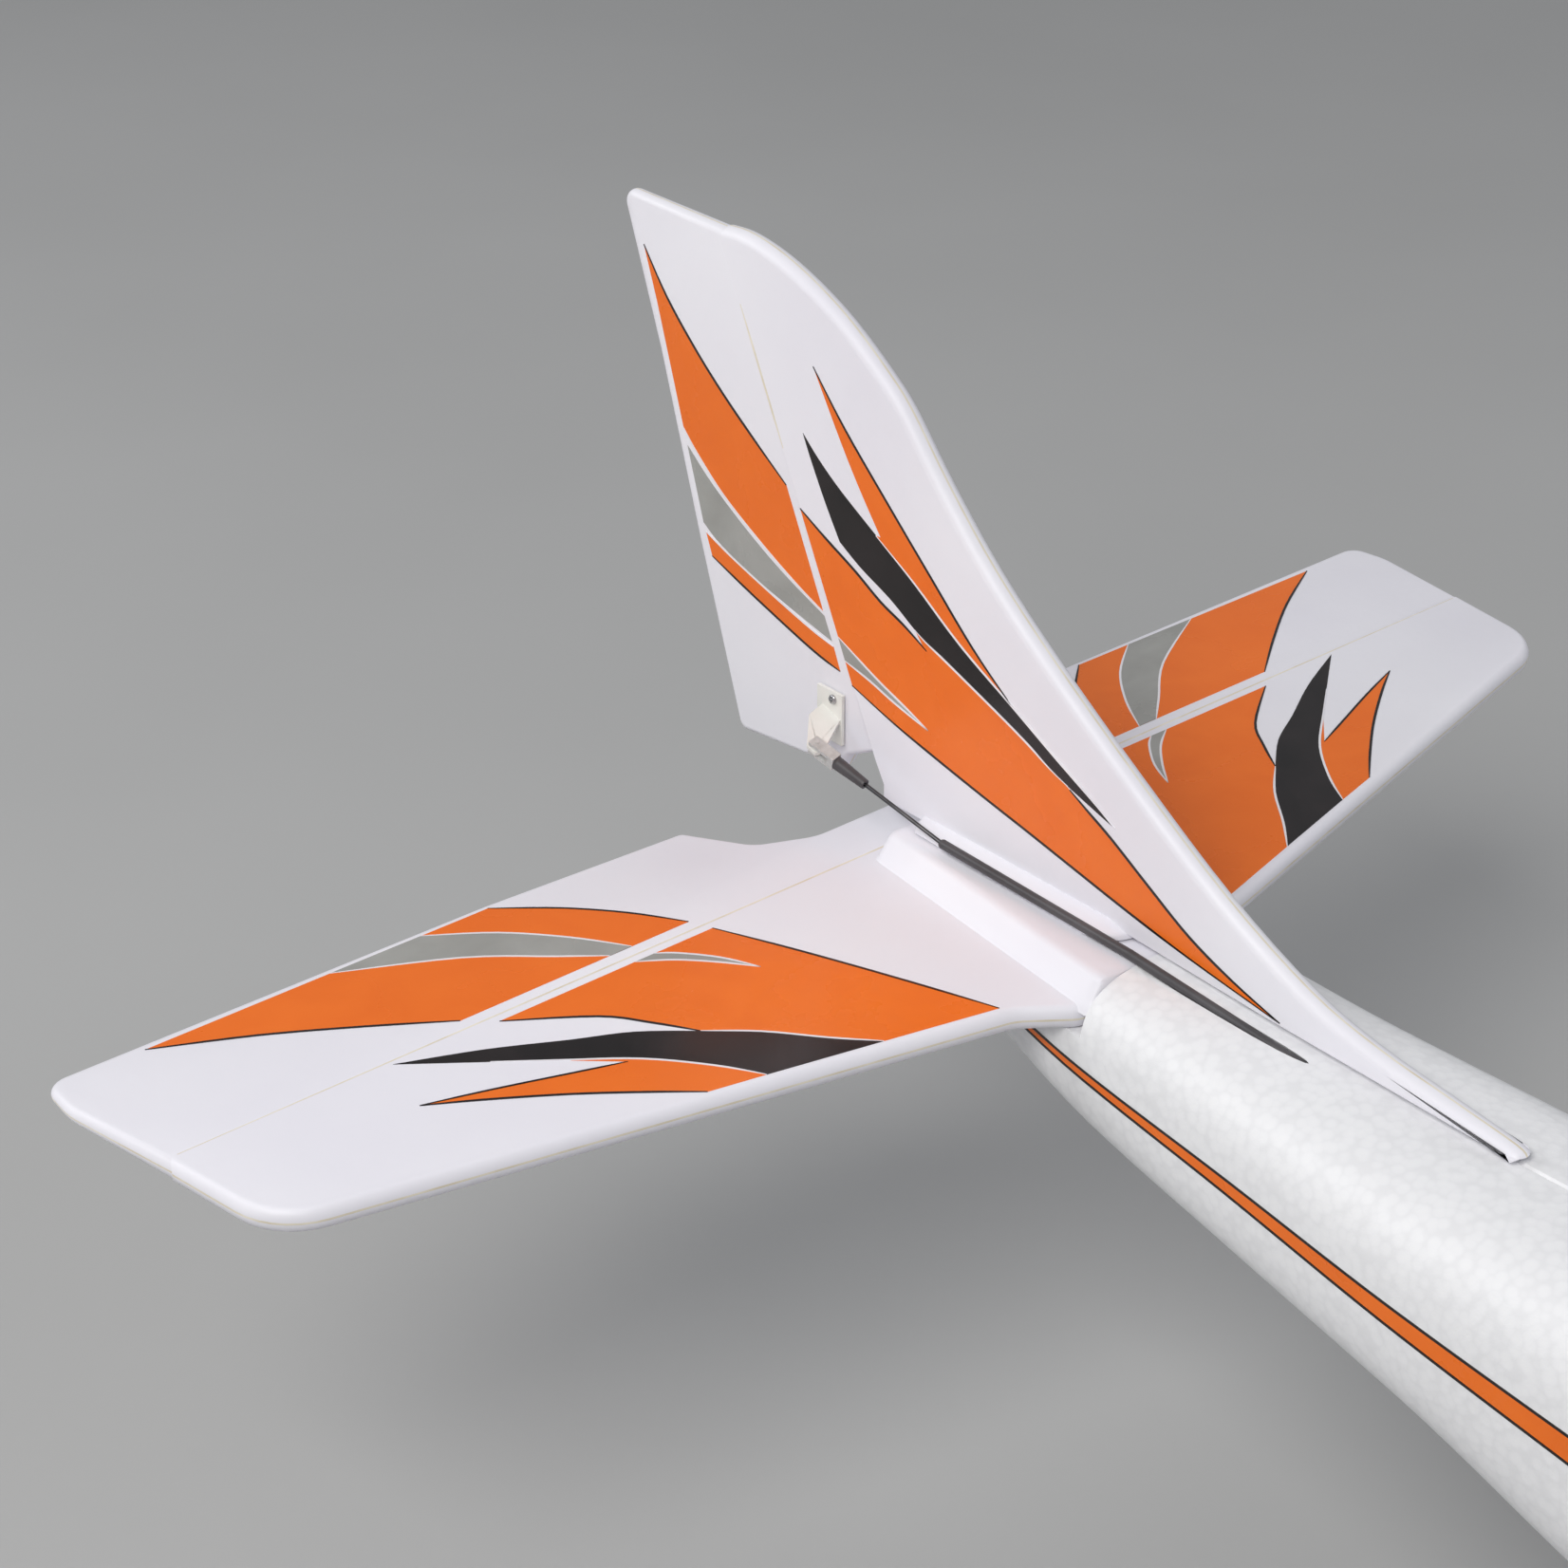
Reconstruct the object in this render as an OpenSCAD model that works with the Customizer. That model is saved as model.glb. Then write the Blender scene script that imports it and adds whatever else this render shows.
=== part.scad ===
// Foam radio-controlled trainer aeroplane with electric motor.
// Nose towards -Y, tail towards +Y, port side towards +X, wheels on Z = 0.

/* [Wing] */
// Wing span over both tips
wing_span = 1500; // [1440:10:1560]
// Chord at the wing root
root_chord = 240; // [236:1:242]
// Chord at the wing tip
tip_chord = 200; // [190:1:210]
// Upward angle of each wing panel in degrees
dihedral = 3.5; // [3:0.1:4]

/* [Tail] */
// Thickness of the fin and the tailplane
tail_t = 8; // [7:0.5:9]
// Backward lean of the rudder hinge line in degrees
rudder_rake = 26; // [25:0.5:27]
// Gap between a hinge nose and the fixed foam in front of it
hinge_gap = 0.5; // [0.4:0.1:1]

/* [Power] */
// Propeller diameter
prop_d = 280; // [254:1:286]
// Spinner diameter
spinner_d = 50; // [46:1:52]
// Motor can diameter
motor_d = 36; // [34:1:37]

/* [Undercarriage] */
// Main tyre diameter
main_tyre_d = 70; // [66:1:72]
// Nose tyre diameter
nose_tyre_d = 60; // [56:1:62]
// Half the distance between the main wheels
half_track = 150; // [140:1:160]
// Wire diameter of the undercarriage legs
leg_wire_d = 4; // [3.5:0.1:4]

/* [Controls] */
// Length of every control arm from its axis to its hole
arm_r = 18; // [17:0.5:19]
// Wire diameter of the pushrods
rod_d = 1.4; // [1.2:0.1:1.6]
// Outside diameter of the pushrod sleeves
sleeve_d = 3.2; // [3:0.1:3.4]

/* [Show] */
// Part to show

/* [Hidden] */
$fn = 32;
tail_y = 398;
tail_z = 205;
stab_drop = 4;
shaft_z = 172;
spinner_l = 47.3;
foam_wall = 8;
wing_le = -325;
wing_z = 215;
panel = wing_span / 2 / cos(dihedral) - 0.05;
tip_le = wing_le + 14;
main_axle_y = -150;
main_axle_z = main_tyre_d / 2;
nose_leg_y = -440;
nose_axle_z = nose_tyre_d / 2;
half_t = tail_t / 2;
nose_r = half_t - 0.2;
rudder_y = 13.7;
rudder_z = 23.5;
aileron_in = 330;
aileron_out = 700;
aileron_y = -141;
aileron_servo_x = 420;
aileron_servo_y = -232;
white = [0.93, 0.93, 0.95];
orange = [0.93, 0.42, 0.14];
dark = [0.12, 0.12, 0.13];
steel = [0.62, 0.63, 0.65];
nylon = [0.9, 0.9, 0.87];
pin_d = 1.5;
wood = [0.78, 0.62, 0.42];

// fuselage stations: y, half width, bottom, top
stations = [[-488, 27, 145, 199], [-468, 35, 131, 207], [-430, 43, 113, 213],
  [-380, 50, 99, 220], [-332, 54, 91, 230], [-300, 55, 88, 238],
  [-200, 55, 88, 238], [-84, 54, 90, 227], [0, 51, 100, 219],
  [80, 48, 116, 213], [148, 45, 135, 210], [220, 39, 146, 211],
  [283, 34.5, 157, 213.6], [333, 27, 170, 213.8], [380, 20, 184, 213.8],
  [389, 15, 188, 213.5]];
last = len(stations) - 1;

// ---------- helpers ----------
module tail() translate([0, tail_y, tail_z]) children();
// frame of the tailplane, elevator hinge line at its origin
module low_tail() translate([0, tail_y, tail_z - stab_drop]) children();
module rod(a, b, d) {
  v = b - a;
  translate(a) rotate([0, acos(v[2] / norm(v)), atan2(v[1], v[0])])
    cylinder(d = d, h = norm(v));
}
module port_star(s) if (s > 0) children(); else mirror([1, 0, 0]) children();

// rounded section of the fuselage
function bow(v, n) = sign(v) * pow(abs(v), 2 / n);
function section(w, zb, zt) = let (zc = zb + 0.55 * (zt - zb))
  [for (i = [0:35]) let (a = i * 10 + 5)
    [w * bow(cos(a), 3.4),
     zc + (sin(a) > 0 ? zt - zc : zc - zb) * bow(sin(a), sin(a) > 0 ? 3.4 : 3)]];
module slab(s, inset) translate([0, s[0], 0]) rotate([90, 0, 0])
  linear_extrude(0.5)
    polygon(section(s[1] - inset, s[2] + inset, s[3] - inset));
module loft(first, final, inset) for (i = [first:final - 1]) hull() {
  slab(stations[i], inset);
  slab(stations[i + 1], inset);
}

// ---------- fuselage ----------
hatch_y0 = -424;
hatch_y1 = -337;
hatch_x = 30;
module wing_seat() translate([-1, wing_le - 1.5, wing_z - 0.2])
  rotate([0, -dihedral, 0]) translate([-5, 0, 0])
    cube([90, root_chord + 2.5, 60]);
module hatch_block(gap) translate([-hatch_x + gap, hatch_y0 + gap, 193 + gap])
  cube([2 * (hatch_x - gap), hatch_y1 - hatch_y0 - 2 * gap, 60]);
module half_space(s) translate([s > 0 ? 0.05 : -80, -600, 0])
  cube([79.95, 1200, 400]);
module fuselage_half(s) color(white) difference() {
  union() {
    difference() {
      intersection() {
        loft(0, last, 0);
        half_space(s);
      }
      // hollow from the firewall to the tail boom
      loft(1, 11, foam_wall);
    }
    // shelf for the battery and the radio gear
    port_star(s) translate([0.05, -400, 104]) cube([39, 282, 8.9]);
    // ledge of the servo tray and seat of the wing screws
    port_star(s) translate([37, -22, 143]) cube([10, 66, 4.95]);
    port_star(s) translate([0.05, -124, 203]) cube([48, 32, 11.4]);
  }
  // motor ring
  translate([0, -462, shaft_z]) rotate([90, 0, 0]) cylinder(d = 48, h = 40);
  hatch_block(0);
  port_star(s) wing_seat();
  // seat of the tailplane and of its raised middle
  low_tail() translate([-60, -115.2, -half_t - 0.05]) cube([120, 140, 44]);
  // hole and groove of the rudder sleeve
  for (i = [0:2]) hull() {
    translate(rudder_line[i]) sphere(d = sleeve_d + 0.6, $fn = 12);
    translate(rudder_line[i + 1]) sphere(d = sleeve_d + 0.6, $fn = 12);
  }
  // exit of the elevator sleeve
  rod(elevator_line[0] - 0.02 * elevator_run, elevator_line[1] + 0.06 * elevator_run,
    sleeve_d + 0.6);
  rod(elevator_line[1] - [0, 10, 0], [24, 402, 182], 9);
  // pocket of the undercarriage block and of the nose leg
  translate([-31, main_axle_y - 14.2, 80]) cube([62, 28.4, 16.2]);
  translate([0, nose_leg_y, 90]) cylinder(d = 16, h = 50);
  // cooling slots under the nose
  translate([s * 22 - 5, -412, 90]) cube([10, 34, 40]);
  // groove of the strap and holes of the wing screws
  translate([-30, -331, 110.6]) cube([60, 22, 6]);
  for (x = [-24, 24]) translate([x, wing_le + root_chord - 22, 180])
    cylinder(d = 5.3, h = 60);
  // tail screw channel
  for (y = [306, 356]) translate([0, y, 150]) cylinder(d = 6.4, h = 60);
}
module fuselage_left() fuselage_half(1);
module fuselage_right() fuselage_half(-1);
module hatch() color(white) difference() {
  intersection() {
    loft(2, 5, 0);
    hatch_block(0.5);
  }
  loft(2, 5, foam_wall - 1);
  for (i = [0:5]) hull() for (y = [-395, -350])
    translate([i * 7 - 17.5, y, 240]) sphere(r = 1, $fn = 8);
}

// ---------- nose ----------
module firewall() color(wood) difference() {
  translate([0, -455, 0]) rotate([90, 0, 0]) linear_extrude(4)
    polygon(section(28.7, 135, 200));
  translate([0, -450, shaft_z]) rotate([90, 0, 0]) cylinder(d = 9, h = 20);
}
module motor_stator() color(steel) translate([0, -459.05, shaft_z])
  rotate([90, 0, 0]) difference() {
    union() {
      cylinder(d = 32, h = 3);
      cylinder(d = 12, h = 22);
      for (a = [45:90:315]) rotate(a) translate([0, 0, 2])
        cube([16, 5, 2.5], center = true);
      translate([0, 0, 5]) cylinder(d = motor_d - 9, h = 13);
    }
    translate([0, 0, -1]) cylinder(d = 5.1, h = 30);
  }
module motor_can() color(dark) translate([0, -462.7, shaft_z])
  rotate([90, 0, 0]) difference() {
    cylinder(d = motor_d, h = 24);
    translate([0, 0, -1]) cylinder(d = motor_d - 6, h = 21);
    translate([0, 0, -1]) cylinder(d = 5.02, h = 30);
    for (a = [0:60:300]) rotate(a) translate([11, 0, 15])
      cylinder(d = 5, h = 20);
  }
module prop_shaft() color(steel) translate([0, -455.5, shaft_z])
  rotate([90, 0, 0]) union() {
    cylinder(d = 5, h = 60);
    translate([0, 0, 31.4]) cylinder(d = 14, h = 5);
    translate([0, 0, 48]) cylinder(d = 11, h = 8, $fn = 6);
  }
module blade() {
  for (i = [0:2]) hull() for (j = [i, i + 1]) let (
      r = [6, 34, 82, 139.4][j] * prop_d / 280,
      c = [9, 23, 25, 9][j], p = [38, 32, 18, 10][j], t = [7, 4.4, 2.6, 1.2][j])
    translate([0, 0, r]) rotate([0, 0, p])
      linear_extrude(0.3) scale([1, t / c]) circle(d = c, $fn = 20);
}
module propeller() color(dark) translate([0, -498.4, shaft_z]) difference() {
  union() {
    rotate([90, 0, 0]) translate([0, 0, -5.05]) cylinder(d = 19, h = 10);
    for (a = [0, 180]) rotate([0, a, 0]) blade();
  }
  rotate([90, 0, 0]) translate([0, 0, -10]) cylinder(d = 5.02, h = 20);
}
module spinner() color(orange) translate([0, -492, shaft_z])
  rotate([90, 0, 0]) difference() {
    rotate_extrude($fn = 48) polygon(concat([[0, 0]],
      [for (i = [0:9]) [spinner_d / 2 * pow(cos(i * 10), 0.9), i == 0 ? 0 :
        spinner_l * sin(i * 10)]], [[0, spinner_l]]));
    translate([0, 0, 1.2]) cylinder(d = 21, h = 30);
    translate([0, 0, -1]) cylinder(d = 5.2, h = 10);
    translate([-9.5, -60, 1.2]) cube([19, 120, 13]);
  }

// ---------- radio gear ----------
module battery() color([0.1, 0.12, 0.3]) translate([-21.5, -385, 113])
  cube([43, 130, 25]);
module battery_strap() color(dark) difference() {
  translate([-24, -330, 111]) cube([48, 20, 29.2]);
  translate([-21.8, -340, 112.7]) cube([43.6, 40, 25.6]);
}
module speed_controller() color([0.2, 0.25, 0.5]) union() {
  translate([-15, -248, 113]) cube([30, 52, 9]);
  translate([-13, -244, 122]) cube([26, 44, 4]);
}
module receiver() color(dark) union() {
  translate([-14, -176, 113]) cube([28, 44, 15]);
  translate([-10, -132, 116]) cube([20, 4, 9]);
}
module servo_tray() color(wood) difference() {
  translate([-41, -20, 148]) cube([82, 62, 3]);
  for (s = [-1, 1]) translate([s * 20 - 6.4, -3.4, 140]) cube([12.8, 23.8, 20]);
}
// upright servo, output axis at the origin, top of the case at z = 0
module servo() {
  translate([-6, -6, -23]) cube([12, 23, 23]);
  translate([-6, -10.5, -8]) cube([12, 4.5, 2]);
  translate([-6, 17, -8]) cube([12, 4.5, 2]);
  cylinder(d = 11.6, h = 3.6);
  cylinder(d = 4.6, h = 5.5);
}
// arm with its ends at the given places, bore for the servo's output below
module servo_arm(h, ends) difference() {
  union() {
    cylinder(d = 7, h = h);
    translate([min(0, min(ends)), -2.2, 0])
      cube([max(ends) - min(0, min(ends)), 4.4, 1.6]);
    for (x = ends) translate([x, 0, 0]) cylinder(d = 5, h = 1.6);
  }
  translate([0, 0, -1]) cylinder(d = 4.7, h = 2.4);
  translate([0, 0, -1]) cylinder(d = 2, h = 9);
  for (x = ends) translate([x, 0, -1]) cylinder(d = rod_d + 0.15, h = 4);
}
module rudder_servo() color([0.15, 0.2, 0.45])
  translate([-20, 2.9, 159.05]) servo();
module elevator_servo() color([0.15, 0.2, 0.45])
  translate([20, 2.9, 159.05]) servo();
module rudder_servo_arm() color(nylon) translate([-20, 2.9, 163.2])
  servo_arm(3, [-arm_r, arm_r]);
module elevator_servo_arm() color(nylon) translate([20, 2.9, 163.2])
  servo_arm(3, [arm_r]);
rudder_line = [[-37, 30, 164.2], [-14, 150, 189], [-8.5, 212, 208.5],
  [-11, 286, 215.6], [-11, 369, 217.4]];
module rudder_sleeve() color([0.25, 0.25, 0.26]) difference() {
  for (i = [0:3]) union() {
    rod(rudder_line[i], rudder_line[i + 1], sleeve_d);
    translate(rudder_line[i + 1]) sphere(d = sleeve_d + 0.06);
  }
  rod(rudder_line[4] - [0, 26, 0.5], rudder_line[4] + [0, 9, 0.2], 2.4);
}
elevator_line = [[37, 30, 164.2], [23.6, 342, 181.6]];
elevator_run = elevator_line[1] - elevator_line[0];
module elevator_sleeve() color([0.25, 0.25, 0.26]) difference() {
  rod(elevator_line[0], elevator_line[1], sleeve_d);
  rod(elevator_line[1] - 0.08 * elevator_run, elevator_line[1] + 0.02 * elevator_run,
    2.4);
}

// ---------- wing ----------
// fractions of the chord and of the thickness around the aerofoil
foil = [[1, 0], [0.12, 0], [0.04, 0.05], [0.01, 0.15], [0, 0.3], [0.02, 0.53],
  [0.06, 0.73], [0.15, 0.92], [0.3, 1], [0.45, 0.95], [0.6, 0.8],
  [0.75, 0.57], [0.9, 0.27], [1, 0.06]];
module rib(x, le, chord, t) translate([x, 0, 0]) rotate([90, 0, 90])
  linear_extrude(0.05)
    polygon([for (p = foil) [le + p[0] * chord, p[1] * t]]);
module panel_shape() {
  hull() {
    rib(0, wing_le, root_chord, root_chord * 0.12);
    rib(panel - 14, tip_le, tip_chord, tip_chord * 0.12);
  }
  hull() {
    rib(panel - 14, tip_le, tip_chord, tip_chord * 0.12);
    rib(panel - 5, tip_le + 8, tip_chord - 14, tip_chord * 0.1);
  }
  hull() {
    rib(panel - 5, tip_le + 8, tip_chord - 14, tip_chord * 0.1);
    rib(panel, tip_le + 26, tip_chord - 48, tip_chord * 0.06);
  }
}
function hinge_z(x) = 6.1 - (x - aileron_in) * 1.6 / 370;
module in_wing() translate([0, 0, wing_z]) rotate([0, -dihedral, 0])
  children();
module wing_half() color(white) in_wing() difference() {
  panel_shape();
  // root face stands upright on the middle plane
  rotate([0, dihedral, 0]) translate([-40, -400, -40])
    cube([40.02, 400, 100]);
  // bay of the aileron
  translate([aileron_in - 1, aileron_y - 6 - hinge_gap, -5])
    cube([aileron_out - aileron_in + 2, 120, 40]);
  // socket of the joiner tube
  rotate([0, dihedral, 0]) translate([-1, joiner_y, joiner_z]) rotate([0, 90, 0])
    cylinder(d = 10.04, h = joiner_l / 2 + 2);
  // pocket of the servo
  translate([aileron_servo_x - 26.8, aileron_servo_y - 11.2, -1])
    cube([31, 33.4, 13.4]);
  // hole of the wing screw
  rotate([0, dihedral, 0]) translate([24, wing_le + root_chord - 22, -10])
    cylinder(d = 5.4, h = 60);
  // bay of the bits that would stick out of the tip
  for (i = [0:4]) hull() for (y = [-4, 4])
    translate([panel + 9, y - 200 + i, 60]) sphere(r = 1, $fn = 8);
}
joiner_y = -250;
joiner_z = 15;
joiner_l = 200;
module wing_left() wing_half();
module wing_right() mirror([1, 0, 0]) wing_half();
module wing_joiner() color(dark) translate([-joiner_l / 2, joiner_y,
  wing_z + joiner_z]) rotate([0, 90, 0]) difference() {
    cylinder(d = 10, h = joiner_l);
    translate([0, 0, -1]) cylinder(d = 8, h = joiner_l + 2);
  }
module wing_screws() color(nylon) for (x = [-24, 24])
  translate([x, wing_le + root_chord - 22, 0]) union() {
    translate([0, 0, 196]) cylinder(d = 5, h = 30);
    translate([0, 0, 225.4]) cylinder(d = 10, h = 3);
  }

// ---------- ailerons ----------
module aileron_half() color(white) in_wing() union() {
  difference() {
    hull() {
      rib(aileron_in + 0.2, wing_le + 14 * aileron_in / (panel - 14),
        root_chord - (root_chord - tip_chord) * aileron_in / (panel - 14),
        0.12 * (root_chord - (root_chord - tip_chord) * aileron_in / (panel - 14)));
      rib(aileron_out - 0.25, wing_le + 14 * aileron_out / (panel - 14),
        root_chord - (root_chord - tip_chord) * aileron_out / (panel - 14),
        0.12 * (root_chord - (root_chord - tip_chord) * aileron_out / (panel - 14)));
    }
    translate([aileron_in - 10, -500, -20])
      cube([aileron_out, 500 + aileron_y, 80]);
  }
  hull() for (x = [aileron_in + 0.2, aileron_out - 0.2])
    translate([x - (x > 500 ? 0.1 : 0), aileron_y, hinge_z(x)])
      rotate([0, 90, 0]) cylinder(r = hinge_z(x) - 0.15, h = 0.1);
  for (i = [0:6]) hull() for (j = [0, 1])
    translate([aileron_in + 20 + 48 * (i + j), aileron_y + 10, 3.6])
      cube(2, center = true);
}
module aileron_left() aileron_half();
module aileron_right() mirror([1, 0, 0]) aileron_half();
ahx = aileron_servo_x;
ahz = hinge_z(ahx);
module aileron_horn() color(nylon) in_wing() difference() {
  union() {
    translate([ahx - 7, aileron_y + 4, -1.6]) cube([14, 16, 1.5]);
    translate([ahx - 0.8, 0, 0]) rotate([90, 0, 90]) linear_extrude(1.6)
      polygon([[aileron_y + 5, -1.5], [aileron_y + 17, -1.5],
        [aileron_y + 3, ahz - arm_r - 3], [aileron_y - 3, ahz - arm_r - 2.6],
        [aileron_y - 2.8, ahz - arm_r + 2]]);
  }
  translate([ahx - 5, aileron_y, ahz - arm_r]) rotate([0, 90, 0])
    cylinder(d = pin_d + 0.15, h = 10);
}
module aileron_horn_left() aileron_horn();
module aileron_horn_right() mirror([1, 0, 0]) aileron_horn();
// lying servo: its output axis points to the wing tip
module aileron_servo() color([0.15, 0.2, 0.45]) in_wing()
  translate([ahx - 4.4, aileron_servo_y, ahz]) rotate([0, 90, 0]) union() {
    translate([-5.9, -6, -22]) cube([11.8, 23, 22]);
    translate([-5.9, -10.5, -8]) cube([11.8, 32, 2]);
    cylinder(d = 11.6, h = 1.4);
    cylinder(d = 4.6, h = 3);
  }
module aileron_servo_left() aileron_servo();
module aileron_servo_right() mirror([1, 0, 0]) aileron_servo();
// arm beside the horn, pointing down
module aileron_arm() color(nylon) in_wing()
  translate([ahx - 2.6, aileron_servo_y, ahz]) rotate([0, 90, 0]) difference() {
    union() {
      cylinder(d = 7, h = 3.4);
      translate([0, -2.2, 1.8]) cube([arm_r, 4.4, 1.6]);
      translate([arm_r, 0, 1.8]) cylinder(d = 5, h = 1.6);
    }
    translate([0, 0, -1]) cylinder(d = 4.7, h = 2.2);
    translate([arm_r, 0, 0]) cylinder(d = rod_d + 0.15, h = 9);
  }
module aileron_arm_left() aileron_arm();
module aileron_arm_right() mirror([1, 0, 0]) aileron_arm();
// wire with a bent end in the servo arm and a clevis on the horn
module aileron_pushrod() color(steel) in_wing()
  translate([ahx, 0, ahz - arm_r]) union() {
    rod([1.9, aileron_servo_y, 0], [1.9, aileron_y - 22, 0], rod_d);
    rod([-2.4, aileron_servo_y, 0], [1.9, aileron_servo_y, 0], rod_d);
    translate([1.9, aileron_servo_y, 0]) sphere(d = rod_d + 0.06);
    translate([1.9, aileron_y - 22, 0]) sphere(d = rod_d + 0.06);
    rod([1.9, aileron_y - 22, 0], [0, aileron_y - 14, 0], rod_d);
    translate([0, aileron_y - 8, 0]) rotate([90, 0, 0])
      cylinder(d = 4, h = 7);
    for (x = [-2.6, 1.2]) translate([x, aileron_y - 9, -1.7])
      cube([1.4, 11.5, 3.4]);
    translate([-2.9, aileron_y, 0]) rotate([0, 90, 0])
      cylinder(d = pin_d, h = 5.8);
  }
module aileron_pushrod_left() aileron_pushrod();
module aileron_pushrod_right() mirror([1, 0, 0]) aileron_pushrod();

// ---------- tailplane ----------
module soft(t, r) minkowski() {
  linear_extrude(t - 2 * r, center = true) offset(delta = -r) children();
  sphere(r = r, $fn = 8);
}
stab_front = -nose_r - hinge_gap;
module stab_half_outline() polygon([[0, -111], [31, -113], [49, -100],
  [182, -68], [250, -51.6], [262, -46], [270, -36], [276, -20],
  [280, stab_front], [0, stab_front]]);
module stabilizer() color(white) low_tail() difference() {
  union() {
    for (s = [0, 1]) mirror([s, 0, 0]) hull() soft(tail_t, 2)
      stab_half_outline();
    // raised middle that carries on the shape of the fuselage
    intersection() {
      low_unshift() loft(12, 14, 0);
      translate([-60, -114.8, 0]) cube([120, 97, 30]);
    }
    for (i = [0:4]) hull() for (j = [0, 1])
      translate([40 * (i + j) - 100, -50, 0]) cube(2, center = true);
  }
  for (y = [306, 356]) low_unshift() translate([0, y, 190])
    cylinder(d = 3.2, h = 60);
}
module tail_unshift() translate([0, -tail_y, -tail_z]) children();
module low_unshift() translate([0, -tail_y, stab_drop - tail_z]) children();
module elevator() color(white) low_tail() union() {
  for (s = [0, 1]) mirror([s, 0, 0]) {
    hull() soft(tail_t - 0.4, 2.2) polygon([[60, 0.6], [279.6, 0.6],
      [285, 26], [287.4, 46], [284, 53.5], [277, 56.5], [131, 55.7], [60, 51.6]]);
    hull() soft(tail_t - 0.4, 2.2) polygon([[36, 0.6], [70, 0.6], [70, 51.8],
      [55, 51.4], [52, 48.5], [41, 31], [36, 27]]);
    hull() soft(tail_t - 0.4, 2.2) polygon([[-1, 0.6], [45, 0.6], [46, 34],
      [41, 30.6], [27, 22], [13, 20.7], [-1, 20.7]]);
    rotate([0, 90, 0]) cylinder(r = nose_r, h = 279.4);
    hull() {
      translate([0, -nose_r + 0.2, -0.4]) cube([276, 2, 0.8]);
      translate([0, 3, -nose_r]) cube([276, 1, 2 * nose_r]);
    }
  }
}

// ---------- fin and rudder ----------
hinge_dy = sin(rudder_rake);
hinge_dz = cos(rudder_rake);
// point in front of or behind the hinge line: distance along it and from it
function on_hinge(along, back) = [rudder_y + along * hinge_dy + back * hinge_dz,
  rudder_z + along * hinge_dz - back * hinge_dy];
face = -nose_r - hinge_gap;
top_along = (184.3 - rudder_z) / hinge_dz;
fin_base = 9.25;
module fin_outline() polygon([[-253, 5.6], [-250, 8.4], [-227, 11.4], [-199, 15],
  [-173, 21.6], [-139, 37.6], [-101.5, 61], [-65, 86], [-38, 107], [-16, 128.5],
  [1.5, 148], [12.6, 157], [26, 166], [37, 172], [50.7, 177.8], [64.5, 182],
  [78.5, 184.2], on_hinge(top_along, face), on_hinge(-2, face),
  [8, 15], [8, fin_base], [-105, fin_base], [-160, 7.2], [-252, 5.4]]);
module fin() color(white) tail() difference() {
  union() {
    rotate([90, 0, 90]) soft(tail_t, 1.6) fin_outline();
    // raised strip along the foot
    for (i = [0:7]) hull() for (j = [0, 1])
      translate([0, -96 + 9.4 * (i + j), fin_base])
        cylinder(d1 = 18, d2 = 15, h = 2.2, $fn = 24);
  }
  for (y = [306, 356]) tail_unshift() translate([0, y, 190])
    cylinder(d = 3.2, h = 45);
}
module rudder() color(white) tail() union() {
  rotate([90, 0, 90]) soft(tail_t - 0.4, 1.8) polygon([on_hinge(top_along, 0.6),
    [100, 184.6], [122, 184.6], [136, 184], [140.6, 182.4], [141.6, 180],
    [133, 164], [124, 132], [105.5, 71], [86, 8], [83.7, 4.9], [80, 4.9],
    [32, 10], [29, 13], [26, 17.5], on_hinge(0.5, 0.6)]);
  translate([0, rudder_y, rudder_z]) rotate([-rudder_rake, 0, 0])
    translate([0, 0, 0.6]) cylinder(r = nose_r, h = top_along - 2);
  // thickened spine behind the hinge line
  for (i = [0:7]) hull() for (j = [0, 1])
    translate([-nose_r + 0.3, on_hinge(20 * (i + j) + 4, 4)[0],
      on_hinge(20 * (i + j) + 4, 4)[1]]) cube([2 * nose_r - 0.6, 2, 2]);
}
// clevis pin of the rudder, and its frame: Y along the wire, Z along the pin
rudder_pin = [-arm_r, 24.8, 28];
wire_dir = rudder_pin - (rudder_line[4] - [0, tail_y, tail_z]);
wire_pitch = asin(wire_dir[2] / norm(wire_dir));
wire_yaw = atan2(-wire_dir[0], wire_dir[1]);
pin_roll = -13;
module at_pin() tail() translate(rudder_pin)
  rotate([wire_pitch, 0, wire_yaw]) rotate([0, pin_roll, 0]) children();
module rudder_horn() color(nylon) difference() {
  union() {
    tail() translate([-half_t - 1.3, 27, 23]) cube([1.4, 12.5, 18.5]);
    at_pin() translate([0, 0, -0.8]) linear_extrude(1.6)
      polygon([[-2.6, -1.6], [-1.2, -2.8], [1.6, -2.4], [15.5, 3.4], [15.5, 12],
        [8, 11.4], [-2.2, 2.4]]);
  }
  at_pin() cylinder(d = pin_d + 0.15, h = 8, center = true);
  tail() translate([-half_t, -20, 0]) cube([40, 80, 60]);
}
// fork around the arm, block in front of it and the pin
module rudder_clevis() color(nylon) at_pin() union() {
  cylinder(d = pin_d, h = 5.6, center = true);
  for (z = [-2.6, 1.3]) translate([-2, -7, z]) cube([4, 9, 1.3]);
  translate([-2, -9, -2.6]) cube([4, 2.6, 5.2]);
}
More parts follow.
